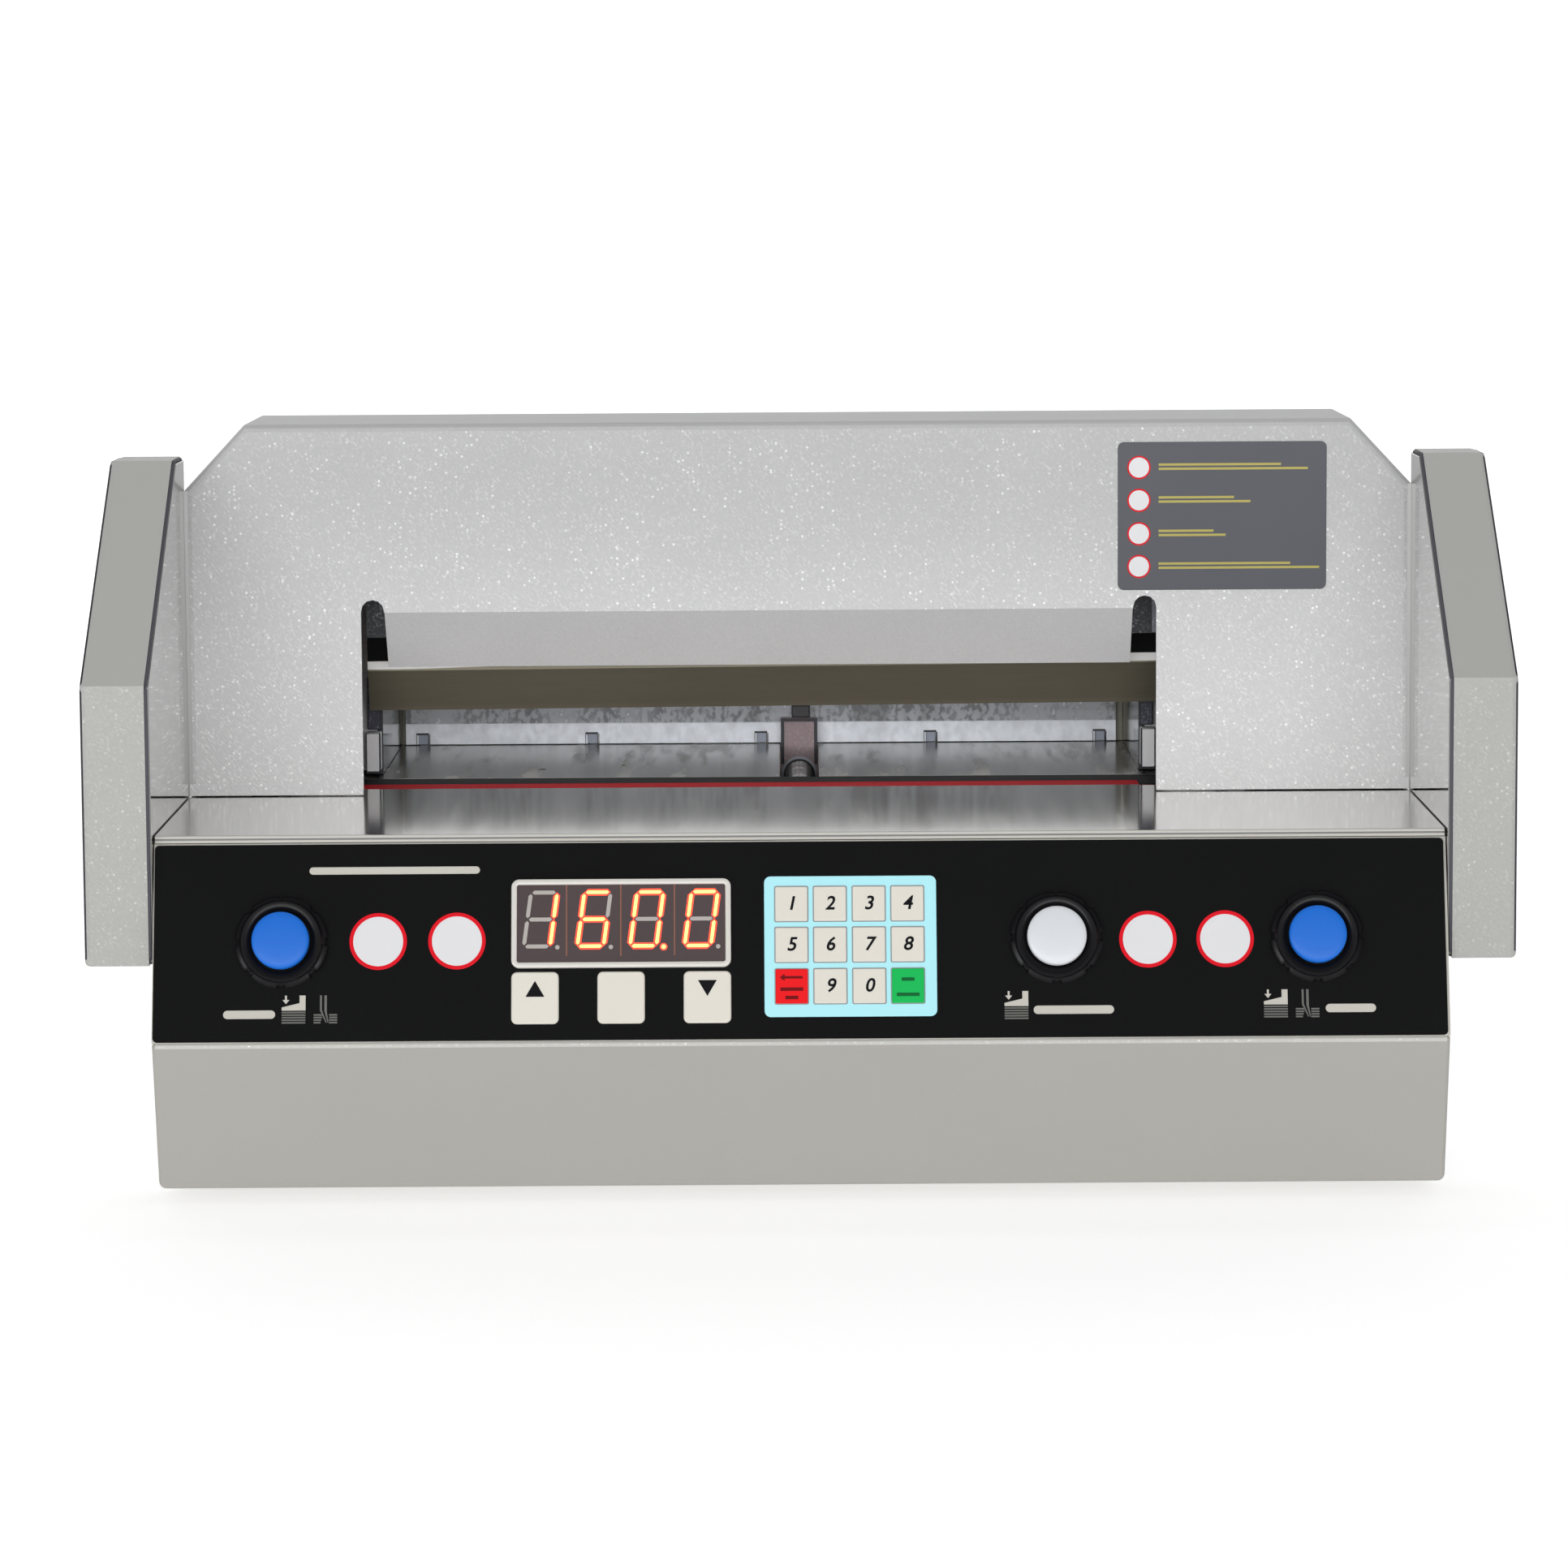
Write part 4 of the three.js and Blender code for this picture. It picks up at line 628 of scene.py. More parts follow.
KEY_GREEN = Finish("key_green", (0.006, 0.46, 0.09), 0.4, 0, 0, 0.12, grain=0.7, depth=0.01, spread=0.05)
PAD_BLUE = Finish("pad_blue", (0.4, 0.8, 0.87), 0.3, 0, 0.2, grain=0.9, depth=0.008, spread=0.03)
PRINT_BLACK = ink("print_black", (0.004, 0.004, 0.006))
PRINT_CREAM = ink("print_cream", (0.52, 0.5, 0.45), 0.5, 0.2)
PRINT_DIM = ink("print_dim", (0.13, 0.13, 0.12), 0.5, 0.2)
PRINT_MAROON = ink("print_maroon", (0.16, 0.004, 0.006))
PRINT_PINE = ink("print_pine", (0.004, 0.12, 0.03))
PRINT_WHITE = Finish("print_white", (0.68, 0.68, 0.7), 0.34, 0, 0.2, grain=0.6, depth=0.004, spread=0.02)
PRINT_RED = Finish("print_red", (0.68, 0.003, 0.014), 0.4, 0, 0, 0.12, 0.6, 0.004, 0.05)
PRINT_YELLOW = Finish("print_yellow", (0.4, 0.34, 0.05), 0.4, grain=0.4, depth=0.004, spread=0.1)
LABEL_GREY = Finish("label_grey", (0.075, 0.077, 0.092), 0.4, 0, 0, 0.3, 0.6, 0.01, 0.08)
TRIM_DARK = Finish("trim_dark", (0.012, 0.012, 0.02), 0.5, grain=0.6, depth=0.02, spread=0.2)
BRIGHT_ZINC = BrushedSteel("bright_zinc", (0.6, 0.6, 0.58), 0.3, 1, depth=0.02, line=0.4)
DARK_OXIDE = Finish("dark_oxide", (0.03, 0.03, 0.032), 0.42, 0.7, grain=0.5, depth=0.02, spread=0.2)
FLOOR_WHITE = Glow("floor_white", (0.9, 0.9, 0.9), 0.8, power=0.55)


# Meshes


@dataclass(frozen=True)
class Plane:
    """A flat face of the machine with its own right, up and outward directions."""

    origin: Vector
    right: Vector
    up: Vector

    @property
    def outward(self) -> Vector:
        """The direction out of the face."""
        return self.right.cross(self.up)

    def at(self, x: float, y: float, out: float = 0) -> Vector:
        """A point on the face, or out of it, in metres of the model's frame."""
        return ORIGIN + self.moved(x, y, out).origin * MM

    def moved(self, x: float, y: float, out: float = 0) -> "Plane":
        """The same face with its origin moved."""
        origin = self.origin + self.right * x + self.up * y + self.outward * out
        return Plane(origin, self.right, self.up)


FRONT = Plane(Vector((0, 0, 0)), Vector((1, 0, 0)), Vector((0, 0, 1)))
REAR = Plane(Vector((0, machine("rear_panel")[1].y, 0)), Vector((-1, 0, 0)), Vector((0, 0, 1)))
TOP = Plane(Vector((0, 0, 0)), Vector((1, 0, 0)), Vector((0, 1, 0)))


def polar(radius: float, angle: float) -> Point2:
    """A point at an angle round the origin."""
    return radius * math.cos(angle), radius * math.sin(angle)


def circle(radius: float, steps: int = 48) -> list[Point2]:
    """Points round a circle."""
    return [polar(radius, TAU * i / steps) for i in range(steps)]


def rounded(width: float, height: float, radius: float, inset: float = 0) -> list[Point2]:
    """Points round a rectangle with round corners, centred on the origin.

    Args:
        width: its full width.
        height: its full height.
        radius: the corners' radius.
        inset: how far the outline is pulled in.

    Returns:
        The points, anticlockwise.
    """
    steps = 6
    r = max(radius - inset, 0.05)
    x, y = width / 2 - inset - r, height / 2 - inset - r
    points = []
    for i, (sx, sy) in enumerate([(1, 1), (-1, 1), (-1, -1), (1, -1)]):
        for k in range(steps + 1):
            a = TAU / 4 * (i + k / steps)
            points.append((sx * x + r * math.cos(a), sy * y + r * math.sin(a)))
    return points


class Mesh:
    """A mesh under construction, in the model's frame."""

    WELD = 1e-7
    SHARP = math.radians(32)

    def __init__(self) -> None:
        """Starts empty."""
        self.bm = bmesh.new()

    def loft(self, rings: Sequence[Ring], closed: bool = False) -> "Mesh":
        """Skins a row of rings with as many points each.

        Args:
            rings: the rings, in order.
            closed: joins the last ring to the first instead of capping both ends.

        Returns:
            The mesh itself.
        """
        rows = [[self.bm.verts.new(p) for p in ring] for ring in rings]
        pairs = list(zip(rows, rows[1:]))
        if closed:
            pairs.append((rows[-1], rows[0]))
        for low, high in pairs:
            for i in range(len(low)):
                j = (i + 1) % len(low)
                self.bm.faces.new((low[i], low[j], high[j], high[i]))
        if not closed:
            self.bm.faces.new(list(reversed(rows[0])))
            self.bm.faces.new(rows[-1])
        return self

    def stack(self, plane: Plane, layers: Iterable[tuple[Sequence[Point2], float]],
              closed: bool = False) -> "Mesh":
        """Lofts outlines that lie at given heights over a face."""
        return self.loft([[plane.at(x, y, out) for x, y in outline] for outline, out in layers], closed)

    def slab(self, plane: Plane, outline: Callable[[float], Sequence[Point2]], low: float, high: float,
             edge: float = 0) -> "Mesh":
        """A plate over a face with a rounded upper edge.

        Args:
            plane: the face.
            outline: gives the outline for an inset.
            low: height of its underside.
            high: height of its upper side.
            edge: radius of the upper edge.

        Returns:
            The mesh itself.
        """
        layers = [(outline(0), low)]
        for k in range(4 if edge else 1):
            a = TAU / 4 * k / 3
            layers.append((outline(edge * (1 - math.cos(a))), high - edge * (1 - math.sin(a))))
        return self.stack(plane, layers)

    def plate(self, plane: Plane, size: tuple[float, float, float], low: float, high: float,
              edge: float = 0) -> "Mesh":
        """A slab with round corners, from its width, height and corner radius."""
        return self.slab(plane, lambda inset: rounded(*size, inset), low, high, edge)

    def disc(self, plane: Plane, radius: float, low: float, high: float, edge: float = 0,
             steps: int = 24) -> "Mesh":
        """A round slab."""
        return self.slab(plane, lambda inset: circle(radius - inset, steps), low, high, edge)

    def ring(self, plane: Plane, outer: float, inner: float, low: float, high: float,
             steps: int = 48) -> "Mesh":
        """A flat ring between two radii."""
        big, small = circle(outer, steps), circle(inner, steps)
        return self.stack(plane, [(big, low), (big, high), (small, high), (small, low)], closed=True)

    def polygon(self, plane: Plane, points: Sequence[Point2], low: float, high: float) -> "Mesh":
        """A plate of any outline."""
        return self.stack(plane, [(points, low), (points, high)])

    def bar(self, plane: Plane, box: tuple[float, float, float, float], low: float, high: float) -> "Mesh":
        """A straight-sided plate from left, bottom, right and top."""
        x0, y0, x1, y1 = box
        return self.polygon(plane, [(x0, y0), (x1, y0), (x1, y1), (x0, y1)], low, high)

    def tube(self, path: Sequence[Vector], radius: float, steps: int = 8, closed: bool = False) -> "Mesh":
        """A round bead along a path of points in metres.

        Args:
            path: the points.
            radius: the bead's radius in millimetres.
            steps: corners round the bead.
            closed: joins its last point to the first.

        Returns:
            The mesh itself.
        """
        rings = []
        count = len(path)
        for i, p in enumerate(path):
            after = path[(i + 1) % count] if closed or i + 1 < count else p
            before = path[i - 1] if closed or i else p
            run = (after - before).normalized()
            side = (side - run * side.dot(run) if rings else run.orthogonal()).normalized()
            across = run.cross(side)
            rings.append([p + (side * x + across * y) * radius * MM for x, y in circle(1, steps)])
        return self.loft(rings, closed)

    def turned(self, plane: Plane, profile: Sequence[Point2], steps: int = 48) -> "Mesh":
        """A turned piece from radius and height pairs; it is capped at both ends."""
        return self.stack(plane, [(circle(r, steps), h) for r, h in profile])

    def text(self, plane: Plane, word: str, size: float, low: float, high: float, slant: float,
             weight: float) -> "Mesh":
        """Raised plain figures, centred on the face's origin.

        Args:
            plane: the face.
            word: the figures.
            size: their height as the font counts it.
            low: height of their underside.
            high: height of their upper side.
            slant: how far they lean.
            weight: how much their strokes are swelled.

        Returns:
            The mesh itself.
        """
        curve = bpy.data.curves.new("figures", "FONT")
        curve.body = word
        curve.size = size
        curve.shear = slant
        curve.offset = weight
        curve.align_x = "CENTER"
        curve.align_y = "CENTER"
        curve.extrude = (high - low) / 2
        curve.resolution_u = 3
        holder = bpy.data.objects.new("figures", curve)
        flat = bpy.data.meshes.new_from_object(holder)
        for v in flat.vertices:
            v.co = plane.at(v.co.x, v.co.y, v.co.z + (low + high) / 2)
        self.bm.from_mesh(flat)
        bpy.data.objects.remove(holder)
        bpy.data.curves.remove(curve)
        bpy.data.meshes.remove(flat)
        return self

    def piece(self, name: str, finish: Finish | str, body: str = "root",
              slot: str | None = None) -> bpy.types.Object:
        """Finishes the mesh as a piece of the machine.

        Args:
            name: the piece's name.
            finish: a finish, or the name of a material slot whose finish it takes.
            body: the body it rides on.
            slot: not used; the record's material slot, where the finish isn't one.

        Returns:
            The new object.
        """
        bmesh.ops.remove_doubles(self.bm, verts=self.bm.verts, dist=self.WELD)
        bmesh.ops.recalc_face_normals(self.bm, faces=self.bm.faces)
        for f in self.bm.faces:
            f.smooth = True
        for e in self.bm.edges:
            flat = any(len(f.verts) > 4 for f in e.link_faces)
            e.smooth = not flat and len(e.link_faces) == 2 and e.calc_face_angle(0) < self.SHARP
        mesh = bpy.data.meshes.new(name)
        self.bm.to_mesh(mesh)
        self.bm.free()
        made = bpy.data.objects.new(name, mesh)
        bpy.context.scene.collection.objects.link(made)
        if isinstance(finish, str):
            slot, finish = finish, FINISHES[finish]
        mesh.materials.append(finish.material())
        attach(made, body)
        return made


# Fasteners


@dataclass
class Screws:
    """Pan-head screws with a cross recess, all of one size."""

    head: float = 6.4
    height: float = 1.9
    recess: float = 3.6
    blade: float = 0.8
    depth: float = 1.1
    taper: float = 0.86
    steps: int = 24
    turn: float = 0.3
    turn_step: float = 0.9

    def add(self, mesh: Mesh, seat: Plane, spin: float) -> None:
        """Adds one screw that stands at a face's origin.

        Args:
            mesh: the mesh that it joins.
            seat: the face.
            spin: the turn of its cross.
        """
        r, h = self.head / 2, self.height
        dome = [(r * 0.98, 0), (r, 0.35), (r * 0.94, h * 0.6), (r * 0.74, h * 0.93)]
        layers = [(circle(radius, self.steps), out) for radius, out in dome]
        cross = self.cross(spin)
        floor = [(x * self.taper, y * self.taper) for x, y in cross]
        mesh.stack(seat, [*layers, (cross, h), (floor, h - self.depth)])

    def cross(self, spin: float) -> list[Point2]:
        """The recess's outline with as many points as a ring has.

        Args:
            spin: the turn of the cross.

        Returns:
            The outline's points.
        """
        points = []
        for i in range(self.steps):
            a = TAU * i / self.steps
            sector = (a + TAU / 8) % (TAU / 4) - TAU / 8
            tip = abs(sector) < TAU / 16
            points.append(polar(self.recess / 2 if tip else self.blade / 2 * 1.6, a + spin))
        return points

    def row(self, name: str, plane: Plane, places: Sequence[Point2]) -> None:
        """One piece with a screw at each place.

        Args:
            name: the piece's name.
            plane: the face that they stand on.
            places: their places on it.
        """
        mesh = Mesh()
        for i, (x, y) in enumerate(places):
            self.add(mesh, plane.moved(x, y), self.turn + self.turn_step * i)
        mesh.piece(name, BRIGHT_ZINC, slot="machined_steel")


@dataclass
class SocketBolts:
    """Cap bolts with a hexagon socket."""

    head: float = 8.2
    height: float = 3.0
    across: float = 4.2
    depth: float = 2.0
    chamfer: float = 0.4
    steps: int = 24

    def row(self, name: str, plane: Plane, places: Sequence[Point2], body: str) -> None:
        """One piece with a bolt at each place.

        Args:
            name: the piece's name.
            plane: the face that they stand on.
            places: their places on it.
            body: the body that they ride on.
        """
        r, h, mesh = self.head / 2, self.height, Mesh()
        outer, inner = circle(r, self.steps), circle(r - self.chamfer, self.steps)
        hexagon = [self.flat(i) for i in range(self.steps)]
        layers = [(outer, 0), (outer, h - self.chamfer), (inner, h), (hexagon, h), (hexagon, h - self.depth)]
        for x, y in places:
            mesh.stack(plane.moved(x, y), layers)
        mesh.piece(name, DARK_OXIDE, body, "machined_steel")

    def flat(self, index: int) -> Point2:
        """A point of the hexagon socket, counted round it."""
        a = TAU * index / self.steps
        return polar(self.across / 2 / math.cos((a + TAU / 12) % (TAU / 6) - TAU / 12), a)


# Sub-assemblies


class Side(Enum):
    """The machine's two sides, as the sign of X."""

    LEFT = -1
    RIGHT = 1

    @property
    def tag(self) -> str:
        """The side's word in a piece's name."""
        return self.name.lower()


@dataclass
class Frame:
    """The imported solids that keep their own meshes: each gets its finish and slightly softened edges."""

    own: dict[str, Finish] = field(default_factory=lambda: {
        "rear_table": REAR_STEEL, "side_guide_left": GUIDE_STEEL, "side_guide_right": GUIDE_STEEL,
    })
    rounding: tuple[tuple[float, str], ...] = (
        (0.8, "side_frame cross_beam knife_gearbox"),
        (0.7, "control_housing"),
        (0.6, "clamp_bar bed_beam"),
        (0.5, "knife_carrier clamp_gearbox knife_motor gauge_motor"),
        (0.4, "gauge_carriage guide_block cutting_bed drive_bracket lever_shaft pull_link transformer"
              " power_inlet clamp_motor"),
        (0.3, "front_table rear_table cutting_stick side_guide rear_panel side_panel upper_rear_panel"
              " mains_rocker bottom_plate"),
        (0.25, "back_gauge wing_plate"),
        (0.2, "control_board motor_pulley"),
    )
    weld: float = 1e-6
    sharp: float = 40

    def build(self) -> None:
        """Dresses every node."""
        for row in frame["record"]["subparts"]:
            name = row["node"]
            node = frame["nodes"][name]
            node.data.materials.clear()
            node.data.materials.append(self.own.get(name, FINISHES[row["material_slot"]]).material())
            widths = (width for width, stems in self.rounding if name.startswith(tuple(stems.split())))
            self.soften(node, next(widths, 0))

    def soften(self, node: bpy.types.Object, width: float) -> None:
        """Adds a small rounded bevel to a node's sharp edges.

        Args:
            node: the solid.
            width: the bevel's width, or 0 for none.
        """
        node.modifiers.new("weld", "WELD").merge_threshold = self.weld
        if not width:
            return
        bevel = node.modifiers.new("edges", "BEVEL")
        bevel.width = width * MM
        bevel.segments = 2
        bevel.limit_method = "ANGLE"
        bevel.angle_limit = math.radians(self.sharp)
        bevel.harden_normals = True


@dataclass
class Console:
    """The sloping panel: membrane, prints, push buttons, display, keys and keypad."""

    top_y: float = -133.74
    top_z: float = -3.3
    out: float = 23.605
    rise: float = 78
    skin: float = 1.3
    film: float = 0.08
    membrane: tuple = (-261.2, 0.7, 260.6, 81.2)
    membrane_back: float = 0.3
    membrane_corner: float = 1.8
    membrane_edge: float = 0.25
    line: float = 40.9
    buttons: tuple = (("left", -209.4, "cap_blue", 11.6), ("middle", 103.3, "cap_white", 12),
                      ("right", 208.4, "cap_blue", 11.6))
    seat_profile: tuple = (
        (6.9, -26), (10.6, -26), (10.6, 1.6), (18.8, 1.6), (18.8, 3.8), (18.2, 4.5), (16.9, 4.9), (16.5, 6.0),
        (16.0, 6.5), (14.2, 6.5), (13.4, 6.15), (12.3, 5.3), (12.3, 2.6), (6.9, 2.6))
    grips: int = 8
    grip_from: float = 18
    grip_half: float = 0.11
    grip_bite: float = 0.9
    plunger_foot: float = -12.1
    plunger: float = 6.6
    cap_low: float = 5.9
    cap_high: float = 10.5
    cap_crown: tuple = ((0, -1.5), (0.25, -0.95), (0.8, -0.6), (1.6, -0.42))
    cap_dish: tuple = ((8, -0.24), (5.5, -0.1), (3, -0.02), (0.1, 0))
    discs: tuple = ((-170.5, 40.6), (-138.7, 40.6), (140.3, 41.6), (171.5, 41.6))
    disc_radius: float = 10.1
    disc_proud: float = 0.1
    disc_edge: float = 0.04
    ring_radius: float = 11.6
    ring_proud: float = 0.14
    signs: float = 68.1
    press_signs: tuple = (-204.4, 86.9, 191.4)
    blade_signs: tuple = (-191.6, 204.1)
    bars: tuple = ((-222.3, 70.1, 21, 3.4), (110, 70.1, 32.4, 3.4), (221.6, 70.1, 20.3, 3.4),
                   (-164, 11.6, 69, 3))
    sheet_foot: float = -5.7
    sheet_pitch: float = 1.05
    sheet_height: float = 0.65

    PRESS = ((-4.8, -0.4), (4.8, -0.4), (4.8, 5.7), (2.4, 5.7), (2.4, 2.6), (-4.8, 0.9))
    PRESS_ARROW = ((-3.5, 5.7), (-3.5, 3.9), (-4.5, 3.9), (-3.1, 2.2), (-1.7, 3.9), (-2.7, 3.9), (-2.7, 5.7))
    BLADES = (((-2.2, 5.7), (-2.2, -0.4), (0.2, -5.4), (0.6, -5.4), (-1.4, -0.2), (-1.4, 5.7)),
              ((-0.4, 5.7), (-0.4, -0.6), (1.0, -5.4), (1.3, -5.4), (0.6, -0.8), (0.6, 5.7)))

    def __post_init__(self) -> None:
        """Sets up the panel's own face and the span of its ink."""
        slope = Vector((0, -self.out, -self.rise)).normalized()
        self.face = Plane(Vector((0, self.top_y, self.top_z)), Vector((1, 0, 0)), -slope)
        self.ink = (self.skin, self.skin + self.film)

    def spot(self, x: float, down: float, out: float = 0) -> Plane:
        """The panel's face with its origin at a place measured down from its upper edge."""
        return self.face.moved(x, -down, out)

    def build(self) -> None:
        """Builds everything on the panel."""
        self.overlay()
        for name, x, look, radius in self.buttons:
            self.seat(name, x)
            self.cap(name, x, look, radius)
        self.prints()
        Display(self).build()
        Keypad(self).build()

    def overlay(self) -> None:
        """The glossy black membrane with its rounded corners."""
        left, high, right, foot = self.membrane
        spot = self.spot((left + right) / 2, (high + foot) / 2)
        size = (right - left, foot - high, self.membrane_corner)
        mesh = Mesh().plate(spot, size, self.membrane_back, self.skin, self.membrane_edge)
        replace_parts(mesh.piece("overlay", "overlay_black"), "panel_overlay")

    def seat(self, name: str, x: float) -> None:
        """A black button seat: a thick ring with grip notches round a sunken well, over its barrel.

        Args:
            name: the button's name.
            x: its place along the panel.
        """
        steps = 120

        def outline(radius: float) -> list[Point2]:
            """A circle, with shallow notches bitten out of it where it is wide.

            Args:
                radius: the circle's radius.

            Returns:
                The outline's points.
            """
            points = []
            for i in range(steps):
                near = min(abs(i * self.grips / steps - k) for k in range(self.grips + 1))
                bitten = radius > self.grip_from and near < self.grip_half
                r = radius - (self.grip_bite if bitten else 0)
                points.append(polar(r, TAU * i / steps))
            return points

        layers = [(outline(radius), height) for radius, height in self.seat_profile]
        made = Mesh().stack(self.spot(x, self.line), layers, closed=True)
        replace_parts(made.piece(f"seat_{name}", "black_plastic"), f"button_seat_{name}")

    def cap(self, name: str, x: float, look: str, radius: float) -> None:
        """A moulded cap with a raised rim round a slightly dished face, on its plunger.

        Args:
            name: the button's name.
            x: its place along the panel.
            look: the cap's material slot.
            radius: the cap's radius.
        """
        profile = [
            (0.1, self.plunger_foot), (self.plunger - 0.4, self.plunger_foot),
            (self.plunger, self.plunger_foot + 0.5), (self.plunger, self.cap_low),
            (radius - 0.3, self.cap_low), (radius, self.cap_low + 0.4),
        ]
        profile += [(radius - inset, self.cap_high + drop) for inset, drop in self.cap_crown]
        profile += [(r, self.cap_high + drop) for r, drop in self.cap_dish]
        piece = Mesh().turned(self.spot(x, self.line), profile, 64).piece(f"cap_{name}", look, f"{name}_cap")
        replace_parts(piece, f"button_cap_{name}")

    def prints(self) -> None:
        """Plain ringed discs, function signs and bare bars where words would be."""
        white, red, cream, dim = Mesh(), Mesh(), Mesh(), Mesh()
        for x, down in self.discs:
            spot = self.spot(x, down)
            white.disc(spot, self.disc_radius, self.skin, self.skin + self.disc_proud, self.disc_edge, 64)
            red.ring(spot, self.ring_radius, self.disc_radius, self.skin, self.skin + self.ring_proud, 64)
        white.piece("disc_fields", PRINT_WHITE)
        red.piece("disc_rings", PRINT_RED)
        for x in self.press_signs:
            self.press_sign(cream, dim, self.spot(x, self.signs))
        for x in self.blade_signs:
            self.blade_sign(dim, self.spot(x, self.signs))
        for x, down, width, height in self.bars:
            cream.plate(self.spot(x, down), (width, height, height / 2), *self.ink)
        cream.piece("panel_signs", PRINT_CREAM)
        dim.piece("panel_sign_stacks", PRINT_DIM)

    def sheet(self, dim: Mesh, spot: Plane, index: int, left: float, right: float) -> None:
        """One line of a sign's stack, counted from its foot."""
        foot = self.sheet_foot + self.sheet_pitch * index
        dim.bar(spot, (left, foot, right, foot + self.sheet_height), *self.ink)

    def press_sign(self, cream: Mesh, dim: Mesh, spot: Plane) -> None:
        """A lined stack under a slanted press plate, with a small arrow that points down.

        Args:
            cream: the mesh of the light prints.
            dim: the mesh of the dim ones.
            spot: the face with its origin at the sign's middle.
        """
        for k in range(5):
            self.sheet(dim, spot, k, -4.8, 4.8)
        cream.polygon(spot, self.PRESS, *self.ink)
        cream.polygon(spot, self.PRESS_ARROW, *self.ink)

    def blade_sign(self, dim: Mesh, spot: Plane) -> None:
        """Two slim blades that meet over a split stack.

        Args:
            dim: the mesh of the dim prints.
            spot: the face with its origin at the sign's middle.
        """
        for k in range(4):
            self.sheet(dim, spot, k, -4.7, -1.9 + 0.3 * k)
            self.sheet(dim, spot, k, 1.5, 4.8)
        for blade in self.BLADES:
            dim.polygon(spot, blade, *self.ink)


